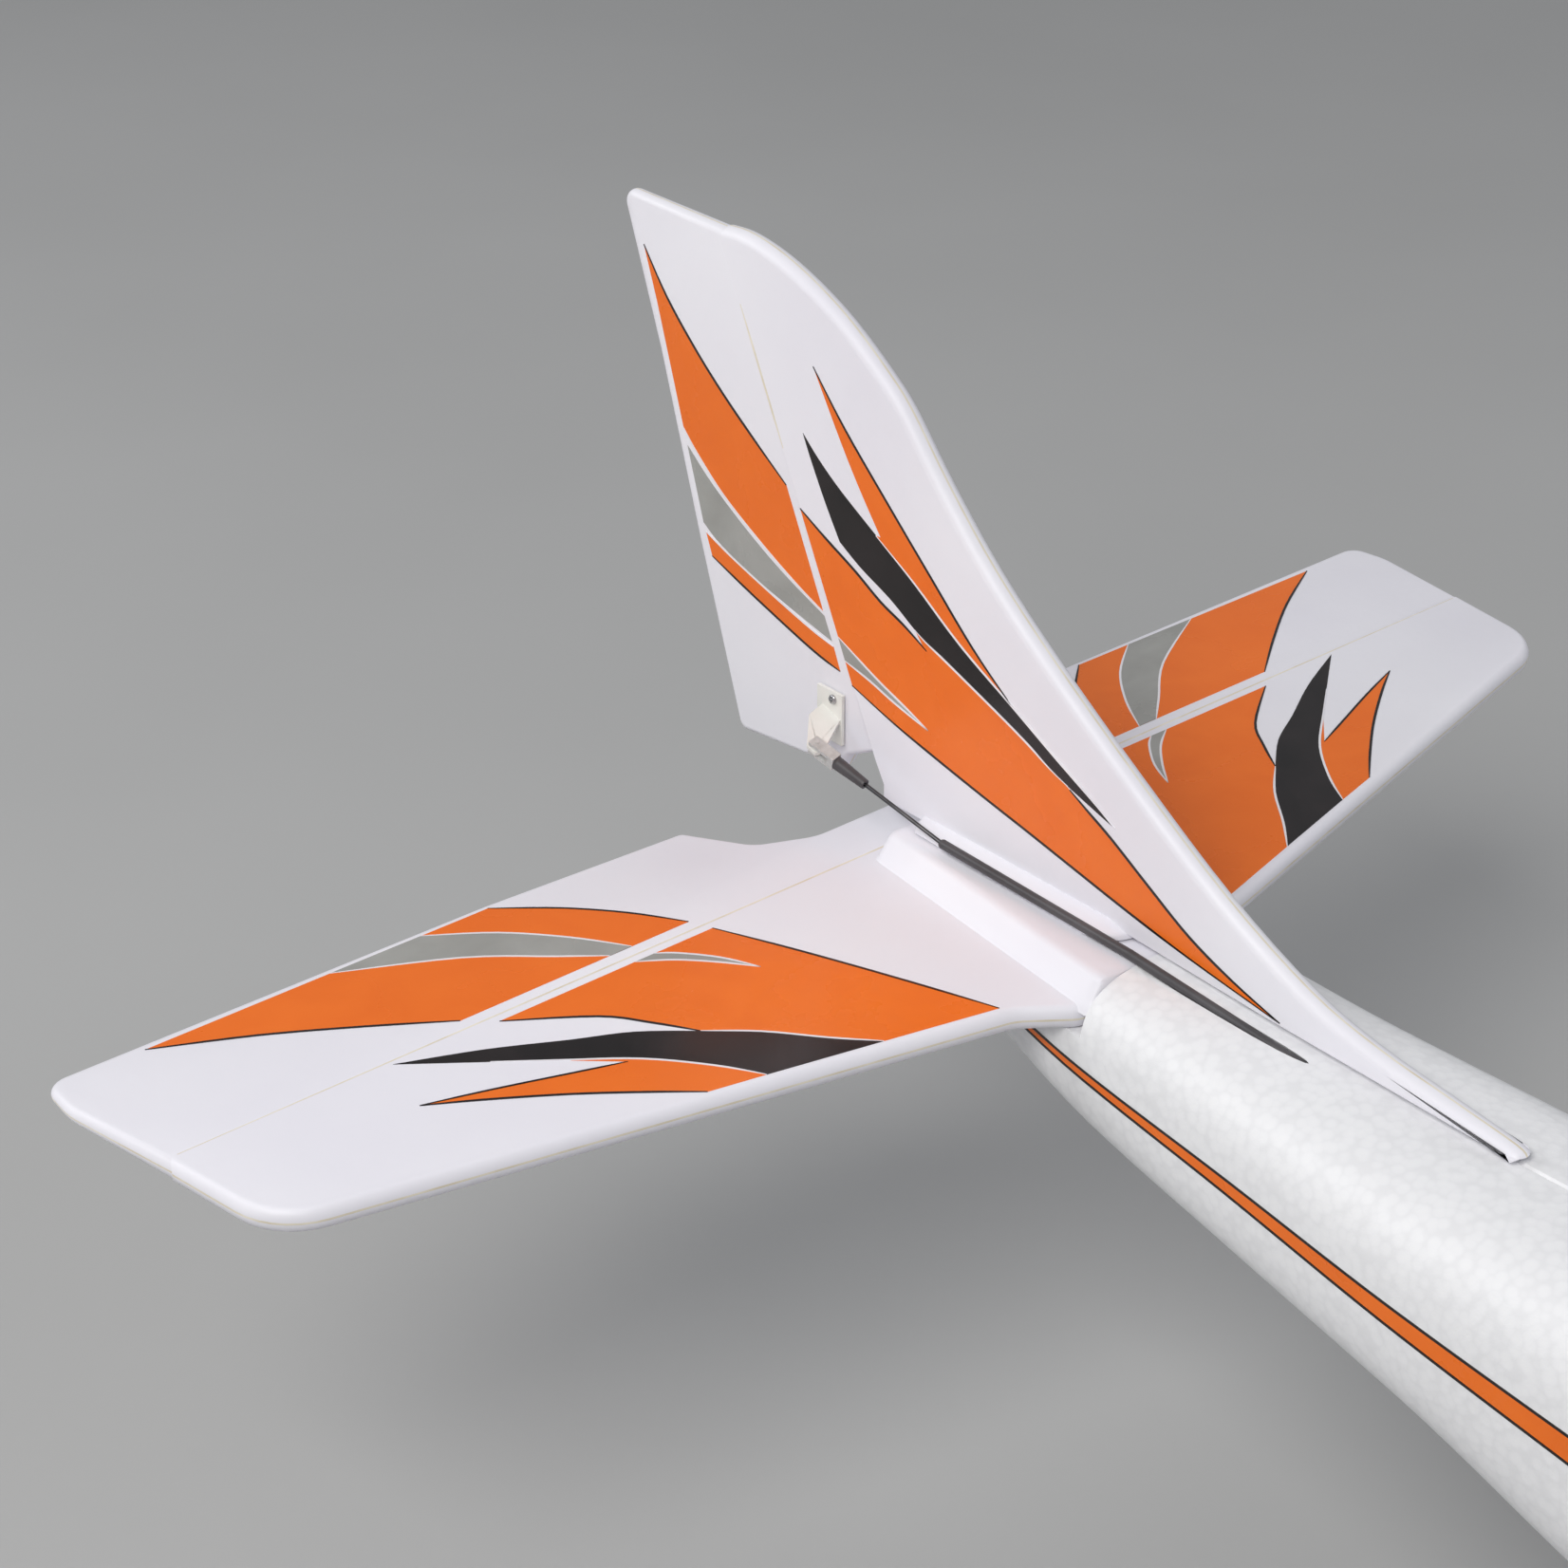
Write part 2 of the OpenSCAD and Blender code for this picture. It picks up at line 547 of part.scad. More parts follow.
// dark tube that keeps the fork closed
module rudder_clevis_keeper() color(dark) at_pin() difference() {
  translate([0, -9.05, 0]) rotate([90, 0, 0])
    cylinder(d1 = 4.6, d2 = 3.4, h = 13);
  translate([0, -8, 0]) rotate([90, 0, 0]) cylinder(d = rod_d + 0.02, h = 20);
}
module rudder_pushrod() color(dark) at_pin() translate([0, -9.1, 0])
  rotate([90, 0, 0]) cylinder(d = rod_d, h = norm(wire_dir) - 7.6);
module elevator_horn() color(nylon) low_tail() {
  translate([17, 4.2, -half_t - 1.4]) cube([14, 14, 1.5]);
  difference() {
    translate([23.2, 0, 0]) rotate([90, 0, 90]) linear_extrude(1.6)
      polygon([[4.4, -half_t - 1], [16, -half_t - 1], [4, -arm_r - 3],
        [-2, -arm_r - 2.8], [-2.4, -arm_r + 1.8]]);
    translate([20, 0.6, -arm_r]) rotate([0, 90, 0])
      cylinder(d = pin_d + 0.15, h = 9);
  }
}
module elevator_clevis() color(nylon) low_tail() translate([24, 0.6, -arm_r]) {
  translate([-2.9, 0, 0]) rotate([0, 90, 0]) cylinder(d = pin_d, h = 5.8);
  for (x = [-2.7, 1.3]) translate([x, -12, -2]) cube([1.4, 14, 4]);
  translate([-2.7, -16, -2]) cube([5.4, 4.4, 4]);
}
module elevator_pushrod() color(dark) rod([24, tail_y - 15.5,
  tail_z - stab_drop - arm_r], elevator_line[1] - 0.005 * elevator_run, rod_d);
module tail_screws() color(steel) for (y = [306, 356]) translate([0, y, 0])
  union() {
    translate([0, 0, 196.4]) cylinder(d = 3, h = 24);
    translate([0, 0, 194.4]) cylinder(d = 6, h = 2.1);
  }

// ---------- undercarriage ----------
module gear_block() color(wood) difference() {
  translate([-30.8, main_axle_y - 14, 88.4]) cube([61.6, 28, 7.6]);
  translate([-40, main_axle_y - leg_wire_d / 2 - 0.1, 80])
    cube([80, leg_wire_d + 0.2, 8.5 + leg_wire_d]);
}
module main_gear_wire() color(steel) {
  z0 = 88.4 + leg_wire_d / 2;
  a = [0, main_axle_y, z0];
  rod([-26, main_axle_y, z0], [26, main_axle_y, z0], leg_wire_d);
  for (s = [-1, 1]) {
    translate([s * 26, main_axle_y, z0]) sphere(d = leg_wire_d + 0.1);
    rod([s * 26, main_axle_y, z0], [s * (half_track - 22), main_axle_y,
      main_axle_z], leg_wire_d);
    translate([s * (half_track - 22), main_axle_y, main_axle_z])
      sphere(d = leg_wire_d + 0.1);
    rod([s * (half_track - 22), main_axle_y, main_axle_z],
      [s * (half_track + 26), main_axle_y, main_axle_z], leg_wire_d);
  }
}
// ring with a flat for its grub screw
module collar() rotate([0, 90, 0]) difference() {
  cylinder(d = 9, h = 4);
  translate([0, 0, -1]) cylinder(d = leg_wire_d + 0.02, h = 6);
  translate([2, 0, 2]) rotate([0, 90, 0]) cylinder(d = 2.4, h = 6);
}
module main_wheel_collars() color(steel) for (s = [0, 1], k = [-16, 12.4])
  mirror([s, 0, 0]) translate([half_track + k, main_axle_y, main_axle_z])
    collar();
module nose_wheel_collars() color(steel) for (x = [-14.8, 10.8])
  translate([x, nose_leg_y, nose_axle_z]) collar();
module nose_gear_bracket() color(nylon) difference() {
  union() {
    translate([-12, -454.95, 138]) cube([24, 4, 32]);
    for (z = [139, 163]) translate([-7, -451, z])
      cube([14, nose_leg_y + 457.5, 5]);
  }
  translate([0, nose_leg_y, 120]) cylinder(d = leg_wire_d + 0.1, h = 60);
}
module nose_gear_leg() color(steel) {
  z1 = nose_axle_z + 46;
  translate([0, nose_leg_y, z1]) cylinder(d = leg_wire_d, h = 172 - z1);
  translate([0, nose_leg_y, z1]) sphere(d = leg_wire_d + 0.1);
  rod([0, nose_leg_y, z1], [22, nose_leg_y, z1 - 14], leg_wire_d);
  translate([22, nose_leg_y, z1 - 14]) sphere(d = leg_wire_d + 0.1);
  rod([22, nose_leg_y, z1 - 14], [22, nose_leg_y, nose_axle_z], leg_wire_d);
  translate([22, nose_leg_y, nose_axle_z]) sphere(d = leg_wire_d + 0.1);
  rod([22, nose_leg_y, nose_axle_z], [-16, nose_leg_y, nose_axle_z],
    leg_wire_d);
  // thinner stub outside the wheel collar
  rod([-15, nose_leg_y, nose_axle_z], [-25, nose_leg_y, nose_axle_z], 3);
}
module steering_arm() color(nylon) translate([0, nose_leg_y, 150])
  difference() {
    union() {
      cylinder(d = 10, h = 6);
      translate([-arm_r, -3, 1]) cube([arm_r, 6, 2]);
      translate([-arm_r, 0, 1]) cylinder(d = 6, h = 2);
    }
    translate([0, 0, -1]) cylinder(d = leg_wire_d + 0.02, h = 9);
    translate([-arm_r, 0, 0]) cylinder(d = rod_d + 0.15, h = 9);
  }
// wire from the rudder servo to the nose leg, with both ends bent down
module steering_pushrod() color(dark) union() {
  a = [arm_r - 20, 2.9, 166.6];
  b = [-arm_r, nose_leg_y, 155];
  rod(a, b, rod_d);
  rod(a, a - [0, 0, 3.8], rod_d);
  rod(b, b - [0, 0, 4.6], rod_d);
  for (c = [a, b]) translate(c) sphere(d = rod_d + 0.06);
}
// wheel with its middle at the origin and its axle along X
module tyre(d, w) color(dark) rotate([0, 90, 0]) rotate_extrude($fn = 48)
  translate([d / 2 - w / 2, 0]) difference() {
    circle(d = w, $fn = 24);
    translate([-w / 2 - 1, -w]) square([w / 2 - 2.5, 2 * w]);
  }
module hub(d, w) color(white) rotate([0, 90, 0]) difference() {
  union() {
    cylinder(d = 12, h = w, center = true);
    cylinder(d = d - w - 8, h = 3, center = true);
    difference() {
      cylinder(d = d - w - 7.04, h = w - 7, center = true);
      cylinder(d = d - w - 12, h = w, center = true);
    }
  }
  cylinder(d = leg_wire_d + 0.12, h = 2 * w, center = true);
  for (a = [0:60:300]) rotate(a) translate([(d - w) * 0.22, 0, 0])
    cylinder(d = (d - w) * 0.11, h = 10, center = true);
}
module nose_tyre() translate([0, nose_leg_y, nose_axle_z])
  tyre(nose_tyre_d, 20);
module nose_hub() translate([0, nose_leg_y, nose_axle_z])
  hub(nose_tyre_d, 20);
module left_tyre() translate([half_track, main_axle_y, main_axle_z])
  tyre(main_tyre_d, 22);
module left_hub() translate([half_track, main_axle_y, main_axle_z])
  hub(main_tyre_d, 22);
module right_tyre() mirror([1, 0, 0]) left_tyre();
module right_hub() mirror([1, 0, 0]) left_hub();

fuselage_left();
fuselage_right();
firewall();
motor_stator();
battery();
battery_strap();
speed_controller();
receiver();
servo_tray();
elevator_servo();
rudder_servo();
wing_left();
wing_right();
wing_joiner();
wing_screws();
aileron_servo_left();
aileron_servo_right();
stabilizer();
fin();
tail_screws();
rudder_sleeve();
elevator_sleeve();
gear_block();
main_gear_wire();
main_wheel_collars();
nose_gear_bracket();
hatch();
motor_can();
prop_shaft();
propeller();
spinner();
rudder();
rudder_horn();
rudder_pushrod();
rudder_clevis();
rudder_clevis_keeper();
elevator();
elevator_horn();
elevator_pushrod();
elevator_clevis();
rudder_servo_arm();
elevator_servo_arm();
aileron_left();
aileron_right();
aileron_horn_left();
aileron_horn_right();
aileron_pushrod_left();
aileron_pushrod_right();
aileron_arm_left();
aileron_arm_right();
nose_gear_leg();
steering_arm();
steering_pushrod();
nose_wheel_collars();
nose_tyre();
nose_hub();
left_tyre();
left_hub();
right_tyre();
right_hub();
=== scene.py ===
"""Looks of the foam trainer aeroplane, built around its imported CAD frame.

Lengths in this script are in millimetres and are turned into metres where a mesh is made.
"""
import math

import bmesh
import bpy
from mathutils import Matrix, Vector


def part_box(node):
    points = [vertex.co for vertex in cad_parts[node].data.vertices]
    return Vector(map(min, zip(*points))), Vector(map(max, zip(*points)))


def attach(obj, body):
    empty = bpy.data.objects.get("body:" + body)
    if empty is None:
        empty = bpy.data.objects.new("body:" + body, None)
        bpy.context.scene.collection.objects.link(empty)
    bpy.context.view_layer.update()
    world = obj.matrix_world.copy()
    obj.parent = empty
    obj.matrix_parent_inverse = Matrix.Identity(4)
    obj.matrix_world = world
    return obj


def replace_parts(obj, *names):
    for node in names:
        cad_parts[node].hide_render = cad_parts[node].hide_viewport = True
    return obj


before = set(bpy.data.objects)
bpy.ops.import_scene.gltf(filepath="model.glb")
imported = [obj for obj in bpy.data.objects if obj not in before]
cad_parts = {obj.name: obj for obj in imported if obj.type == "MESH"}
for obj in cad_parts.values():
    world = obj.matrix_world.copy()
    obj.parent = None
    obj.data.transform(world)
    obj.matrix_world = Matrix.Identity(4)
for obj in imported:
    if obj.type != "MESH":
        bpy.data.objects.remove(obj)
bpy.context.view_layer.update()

MM = 0.001


# ---------- places read from the frame ----------
def mm_box(node):
    low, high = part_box(node)
    return low / MM, high / MM


NOSE_R = 3.8
HALF_T = 4.0
SOCKET_R = 4.15
LIP = math.sqrt(SOCKET_R ** 2 - HALF_T ** 2)
elevator_low, elevator_high = mm_box("elevator")
HINGE_Y = elevator_low.y + NOSE_R
STAB_Z = (elevator_low.z + elevator_high.z) / 2
FIN_Z = mm_box("fin")[1].z - 184.2
SHAFT_Z = mm_box("motor_can")[0].z + 18
RAKE = math.radians(26)
RUDDER_AXIS = (13.7, 23.5)
TOP_ALONG = (183.1 - RUDDER_AXIS[1]) / math.cos(RAKE)
DIHEDRAL = math.radians(3.5)
WING_Z = 215.0
WING_LE = -325.0
ROOT_CHORD = 240.0
TIP_CHORD = 200.0
PANEL = 1500 / 2 / math.cos(DIHEDRAL) - 0.05


def on_hinge(along, back):
    """Point (y, z) of the tail frame at a distance along the rudder axis and behind it."""
    return (RUDDER_AXIS[0] + along * math.sin(RAKE) + back * math.cos(RAKE),
            RUDDER_AXIS[1] + along * math.cos(RAKE) - back * math.sin(RAKE))


def flat_place(u, v, w):
    """Tailplane: u to port, v aft of the hinge line, w up."""
    return Vector((u, v + HINGE_Y, w + STAB_Z))


def fin_place(u, v, w):
    """Fin and rudder: u aft of the hinge line, v up, w to port."""
    return Vector((w, u + HINGE_Y, v + FIN_Z))


def wing_place(x, y, z):
    """Port wing panel, lying flat, to its dihedral."""
    c, s = math.cos(DIHEDRAL), math.sin(DIHEDRAL)
    return Vector((x * c - z * s, y, WING_Z + x * s + z * c))


# ---------- materials ----------
class Look:
    """A Principled material with the few node chains that the looks below share."""

    def __init__(self, name, roughness=0.5, metallic=0.0, coat=0.0):
        self.mat = bpy.data.materials.new(name)
        self.mat.use_nodes = True
        self.nodes = self.mat.node_tree.nodes
        self.links = self.mat.node_tree.links
        self.shader = self.nodes["Principled BSDF"]
        self.shader.inputs["Roughness"].default_value = roughness
        self.shader.inputs["Metallic"].default_value = metallic
        self.shader.inputs["Coat Weight"].default_value = coat
        self.shader.inputs["Coat Roughness"].default_value = 0.12
        self.coords = self.nodes.new("ShaderNodeTexCoord").outputs["Object"]
        self.bumps = []

    def stretched(self, scale, turn=(0, 0, 0)):
        mapping = self.nodes.new("ShaderNodeMapping")
        mapping.inputs["Scale"].default_value = scale
        mapping.inputs["Rotation"].default_value = turn
        self.links.new(self.coords, mapping.inputs["Vector"])
        return mapping.outputs["Vector"]

    def noise(self, scale, detail=3.0, vector=None, distortion=0.0):
        node = self.nodes.new("ShaderNodeTexNoise")
        node.inputs["Scale"].default_value = scale
        node.inputs["Detail"].default_value = detail
        node.inputs["Distortion"].default_value = distortion
        self.links.new(vector or self.coords, node.inputs["Vector"])
        return node.outputs["Fac"]

    def cells(self, scale, feature="F1", vector=None):
        node = self.nodes.new("ShaderNodeTexVoronoi")
        node.feature = feature
        node.inputs["Scale"].default_value = scale
        self.links.new(vector or self.coords, node.inputs["Vector"])
        return node.outputs["Distance"]

    def waves(self, scale, axis="X", distortion=0.0):
        node = self.nodes.new("ShaderNodeTexWave")
        node.bands_direction = axis
        node.inputs["Scale"].default_value = scale
        node.inputs["Distortion"].default_value = distortion
        self.links.new(self.coords, node.inputs["Vector"])
        return node.outputs["Fac"]

    def ramp(self, value, stops):
        node = self.nodes.new("ShaderNodeValToRGB")
        ramp = node.color_ramp
        while len(ramp.elements) < len(stops):
            ramp.elements.new(0.5)
        for element, (place, colour) in zip(ramp.elements, stops):
            element.position = place
            element.color = (*colour, 1)
        self.links.new(value, node.inputs["Fac"])
        return node.outputs["Color"]

    def colour(self, value, stops):
        self.links.new(self.ramp(value, stops), self.shader.inputs["Base Color"])
        return self

    def rough(self, value, low, high):
        node = self.nodes.new("ShaderNodeMapRange")
        node.inputs["To Min"].default_value = low
        node.inputs["To Max"].default_value = high
        self.links.new(value, node.inputs["Value"])
        self.links.new(node.outputs["Result"], self.shader.inputs["Roughness"])
        return self

    def bump(self, value, depth, strength=1.0):
        """Adds a bump of a depth in millimetres on top of those before it."""
        node = self.nodes.new("ShaderNodeBump")
        node.inputs["Strength"].default_value = strength
        node.inputs["Distance"].default_value = depth * MM
        self.links.new(value, node.inputs["Height"])
        if self.bumps:
            self.links.new(self.bumps[-1].outputs["Normal"], node.inputs["Normal"])
        self.bumps.append(node)
        self.links.new(node.outputs["Normal"], self.shader.inputs["Normal"])
        return self


def foam_skin():
    look = Look("foam_skin", 0.46)
    look.colour(look.noise(9, 5), [(0.3, (0.80, 0.785, 0.845)), (0.7, (0.86, 0.85, 0.895))])
    look.rough(look.noise(60), 0.38, 0.55)
    look.bump(look.cells(330, "SMOOTH_F1"), 0.10, 0.35)
    look.bump(look.noise(1600, 2), 0.05, 0.3)
    look.shader.inputs["Subsurface Weight"].default_value = 0.08
    look.shader.inputs["Subsurface Radius"].default_value = (0.004, 0.004, 0.004)
    return look.mat


def foam_beads():
    look = Look("foam_beads", 0.42)
    look.colour(look.cells(300), [(0.0, (0.86, 0.86, 0.87)), (0.45, (0.845, 0.845, 0.86)),
                                  (0.75, (0.80, 0.80, 0.815))])
    look.rough(look.noise(420, 2), 0.34, 0.56)
    look.bump(look.cells(300, "SMOOTH_F1"), 0.28, 0.45)
    look.bump(look.noise(1100, 3), 0.12, 0.4)
    look.shader.inputs["Subsurface Weight"].default_value = 0.06
    look.shader.inputs["Subsurface Radius"].default_value = (0.004, 0.004, 0.004)
    return look.mat


def parting_line():
    look = Look("foam_parting_line", 0.6)
    look.colour(look.noise(90, 4), [(0.3, (0.70, 0.62, 0.47)), (0.7, (0.84, 0.79, 0.68))])
    look.bump(look.noise(700), 0.1, 0.5)
    return look.mat


def vinyl(name, dark, light, roughness=0.24, specks=None):
    look = Look(name, roughness, coat=0.10)
    look.shader.inputs["Specular IOR Level"].default_value = 0.32
    value = look.noise(38, 6, distortion=0.6)
    look.colour(value, [(0.32, dark), (0.68, light)])
    look.rough(look.noise(26, 5), roughness - 0.06, roughness + 0.12)
    look.bump(look.cells(330, "SMOOTH_F1"), 0.05, 0.3)
    look.bump(look.noise(75, 4), 0.10, 0.25)
    if specks:
        look.bump(look.noise(900, 2), 0.03, specks)
    return look.mat


def plastic(name, dark, light, roughness=0.4, bump=0.04, scale=240):
    look = Look(name, roughness)
    look.colour(look.noise(scale / 4, 4), [(0.3, dark), (0.7, light)])
    look.rough(look.noise(scale), roughness - 0.08, roughness + 0.1)
    look.bump(look.noise(scale * 6, 2), bump, 0.4)
    return look.mat


def metal(name, dark, light, roughness=0.3, stretch=(1, 1, 1)):
    look = Look(name, roughness, metallic=1.0)
    vector = look.stretched(stretch)
    look.colour(look.noise(160, 4, vector), [(0.3, dark), (0.7, light)])
    look.rough(look.noise(300, 3, vector), roughness - 0.1, roughness + 0.12)
    look.bump(look.noise(900, 2, vector), 0.02, 0.35)
    return look.mat


def plywood():
    look = Look("birch_plywood", 0.62)
    grain = look.noise(26, 6, look.stretched((9, 1, 1)), 0.8)
    look.colour(grain, [(0.25, (0.46, 0.30, 0.16)), (0.5, (0.66, 0.48, 0.29)),
                        (0.8, (0.78, 0.62, 0.42))])
    look.bump(grain, 0.15, 0.4)
    return look.mat


def rubber(name, shade):
    look = Look(name, 0.72)
    look.colour(look.noise(210, 5), [(0.3, (shade, shade, shade * 1.05)),
                                     (0.75, (shade * 2, shade * 2, shade * 2))])
    look.bump(look.noise(1300, 2), 0.08, 0.6)
    return look.mat


def carbon():
    look = Look("carbon_weave", 0.32, coat=0.6)
    weave = look.noise(520, 2, look.stretched((1, 3, 3), (0.785, 0, 0)))
    look.colour(weave, [(0.35, (0.012, 0.012, 0.014)), (0.65, (0.055, 0.055, 0.06))])
    look.bump(weave, 0.05, 0.4)
    return look.mat


def webbing():
    look = Look("strap_webbing", 0.85)
    weave = look.waves(420, "Y", 0.4)
    look.colour(weave, [(0.2, (0.015, 0.015, 0.017)), (0.8, (0.07, 0.07, 0.075))])
    look.bump(weave, 0.25, 0.8)
    look.bump(look.waves(420, "X", 0.4), 0.2, 0.6)
    look.shader.inputs["Sheen Weight"].default_value = 0.4
    return look.mat


def clear_nylon():
    look = Look("clear_nylon", 0.28)
    look.colour(look.noise(420, 3), [(0.3, (0.62, 0.62, 0.60)), (0.7, (0.80, 0.80, 0.79))])
    look.shader.inputs["Transmission Weight"].default_value = 0.35
    look.bump(look.noise(900, 2), 0.05, 0.4)
    return look.mat


SKIN = foam_skin()
BEADS = foam_beads()
CREAM = parting_line()
ORANGE = vinyl("orange_vinyl", (0.85, 0.160, 0.010), (0.89, 0.178, 0.013))
BLACK = vinyl("black_vinyl", (0.010, 0.008, 0.008), (0.020, 0.015, 0.015), 0.16, 0.5)
GREY = vinyl("grey_vinyl", (0.31, 0.31, 0.29), (0.38, 0.38, 0.36))
WHITE = vinyl("white_vinyl", (0.80, 0.78, 0.82), (0.87, 0.86, 0.89))
WHITE_NYLON = plastic("white_nylon", (0.74, 0.73, 0.68), (0.84, 0.83, 0.79), 0.42)
BLACK_NYLON = plastic("black_nylon", (0.018, 0.018, 0.02), (0.045, 0.045, 0.048), 0.4)
DARK_TUBE = plastic("sleeve_plastic", (0.045, 0.042, 0.045), (0.085, 0.08, 0.085), 0.45)
SERVO_BLUE = plastic("servo_case", (0.018, 0.045, 0.19), (0.03, 0.075, 0.26), 0.3)
SHRINK_BLUE = plastic("controller_sleeve", (0.02, 0.07, 0.22), (0.04, 0.11, 0.3), 0.22, 0.3, 90)
BATTERY_WRAP = plastic("battery_wrap", (0.02, 0.024, 0.06), (0.05, 0.055, 0.12), 0.2, 0.35, 60)
RECEIVER_CASE = plastic("receiver_case", (0.03, 0.03, 0.032), (0.06, 0.06, 0.064), 0.35)
WHEEL_WHITE = plastic("wheel_plastic", (0.74, 0.74, 0.74), (0.83, 0.83, 0.83), 0.35)
SPINNER_RED = plastic("spinner_plastic", (0.72, 0.125, 0.012), (0.82, 0.17, 0.02), 0.22)
STEEL = metal("bright_steel", (0.42, 0.42, 0.43), (0.62, 0.62, 0.63), 0.26)
DARK_WIRE = metal("dark_wire", (0.07, 0.07, 0.075), (0.14, 0.14, 0.145), 0.38)
ALUMINIUM = metal("motor_aluminium", (0.55, 0.56, 0.58), (0.72, 0.73, 0.75), 0.3)
ANODISED = metal("anodised_black", (0.03, 0.03, 0.033), (0.07, 0.07, 0.075), 0.28)
BRASS = metal("collar_brass", (0.52, 0.50, 0.44), (0.68, 0.66, 0.6), 0.3)
PLYWOOD = plywood()
TYRE = rubber("foam_rubber", 0.018)
CARBON = carbon()
WEBBING = webbing()
CLEAR = clear_nylon()


# ---------- mesh helpers ----------
def make(name, verts, faces, materials, body, slots=None, sharp=40):
    """One object from points in millimetres, with outward faces and smooth shading."""
    mesh = bpy.data.meshes.new(name)
    mesh.from_pydata([Vector(v) * MM for v in verts], [], faces)
    for material in materials:
        mesh.materials.append(material)
    if slots:
        for polygon, index in zip(mesh.polygons, slots):
            polygon.material_index = index
    shape = bmesh.new()
    shape.from_mesh(mesh)
    bmesh.ops.recalc_face_normals(shape, faces=shape.faces)
    shape.to_mesh(mesh)
    shape.free()
    return finish_piece(name, mesh, body, sharp)


def finish_piece(name, mesh, body, sharp=40):
    mesh.shade_smooth()
    mesh.set_sharp_from_angle(angle=math.radians(sharp))
    piece = bpy.data.objects.new(name, mesh)
    bpy.context.scene.collection.objects.link(piece)
    if body:
        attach(piece, body)
    return piece


def unit(a, b):
    length = math.dist(a, b)
    return ((b[0] - a[0]) / length, (b[1] - a[1]) / length)


def spline(points, per=5):
    """Catmull-Rom curve through the points, ends kept."""
    padded = [points[0], *points, points[-1]]
    curve = []
    for i in range(1, len(padded) - 2):
        p0, p1, p2, p3 = padded[i - 1:i + 3]
        for k in range(per):
            t = k / per
            curve.append(tuple(
                0.5 * (2 * b + (c - a) * t + (2 * a - 5 * b + 4 * c - d) * t * t
                       + (3 * b - a - 3 * c + d) * t ** 3)
                for a, b, c, d in zip(p0, p1, p2, p3)))
    curve.append(tuple(points[-1]))
    return curve


def arc_corner(before, corner, after, radius, steps=7):
    """Points of the arc that rounds a corner of an outline."""
    a, b = unit(corner, before), unit(corner, after)
    half = math.acos(max(-1, min(1, a[0] * b[0] + a[1] * b[1]))) / 2
    reach = min(radius / math.tan(half), 0.48 * math.dist(corner, before),
                0.48 * math.dist(corner, after))
    start = (corner[0] + a[0] * reach, corner[1] + a[1] * reach)
    end = (corner[0] + b[0] * reach, corner[1] + b[1] * reach)
    middle = unit((0, 0), (a[0] + b[0], a[1] + b[1]))
    away = reach / math.cos(half)
    centre = (corner[0] + middle[0] * away, corner[1] + middle[1] * away)
    first = math.atan2(start[1] - centre[1], start[0] - centre[0])
    last = math.atan2(end[1] - centre[1], end[0] - centre[0])
    sweep = (last - first + math.pi) % (2 * math.pi) - math.pi
    size = math.dist(start, centre)
    return [(centre[0] + size * math.cos(first + sweep * k / steps),
             centre[1] + size * math.sin(first + sweep * k / steps))
            for k in range(steps + 1)]


def outline(corners):
    """Outline from (u, v, radius, kind of the edge after it): points and edge kinds."""
    points, kinds = [], []
    for i, (u, v, radius, kind) in enumerate(corners):
        before, after = corners[i - 1][:2], corners[(i + 1) % len(corners)][:2]
        if radius:
            arc = arc_corner(before, (u, v), after, radius)
            points += arc
            kinds += [kind] * len(arc)
        else:
            points.append((u, v))
            kinds.append(kind)
    return points, kinds


def inset(points, kinds, amount):
    """The outline moved inwards, each edge by the amount of its kind."""
    ring = []
    count = len(points)
    for i, p in enumerate(points):
        e1, e2 = unit(points[i - 1], p), unit(p, points[(i + 1) % count])
        n1, n2 = (-e1[1], e1[0]), (-e2[1], e2[0])
        d1, d2 = amount[kinds[i - 1]], amount[kinds[i]]
        det = n1[0] * n2[1] - n1[1] * n2[0]
        if abs(det) < 0.06:
            mid = unit((0, 0), (n1[0] + n2[0], n1[1] + n2[1]))
            shift = (mid[0] * (d1 + d2) / 2, mid[1] * (d1 + d2) / 2)
        else:
            shift = ((d1 * n2[1] - d2 * n1[1]) / det, (n1[0] * d2 - n2[0] * d1) / det)
        ring.append((p[0] + shift[0], p[1] + shift[1]))
    return ring


ROUND_STEPS = [-90, -72, -54, -36, -20, -5, 5, 20, 36, 54, 72, 90]


def plate(name, corners, place, body, half=HALF_T, edge=3.4, thick=lambda u, v: 1.0):
    """Foam plate with rounded edges, hinge sockets or hinge noses, and a parting line."""
    points, kinds = outline(corners)
    verts, faces, slots = [], [], []
    for angle in ROUND_STEPS:
        rise, run = math.sin(math.radians(angle)), 1 - math.cos(math.radians(angle))
        height = half * rise
        amount = {
            "round": edge * run,
            "square": 0.7 * run,
            "socket": math.sqrt(SOCKET_R ** 2 - min(height ** 2, HALF_T ** 2)) - LIP,
            "nose": -math.sqrt(max(0.0, half ** 2 - height ** 2)),
        }
        verts += [place(u, v, height * thick(u, v)) for u, v in inset(points, kinds, amount)]
    count = len(points)
    for ring in range(len(ROUND_STEPS) - 1):
        for i in range(count):
            j = (i + 1) % count
            low, high = ring * count, (ring + 1) * count
            faces.append((low + i, low + j, high + j, high + i))
            seam = ROUND_STEPS[ring] == -5 and kinds[i] == "round"
            slots.append(1 if seam else 0)
    faces.append(tuple(range(count)))
    faces.append(tuple(range((len(ROUND_STEPS) - 1) * count, len(ROUND_STEPS) * count)))
    slots += [0, 0]
    return make(name, verts, faces, [SKIN, CREAM], body, slots)


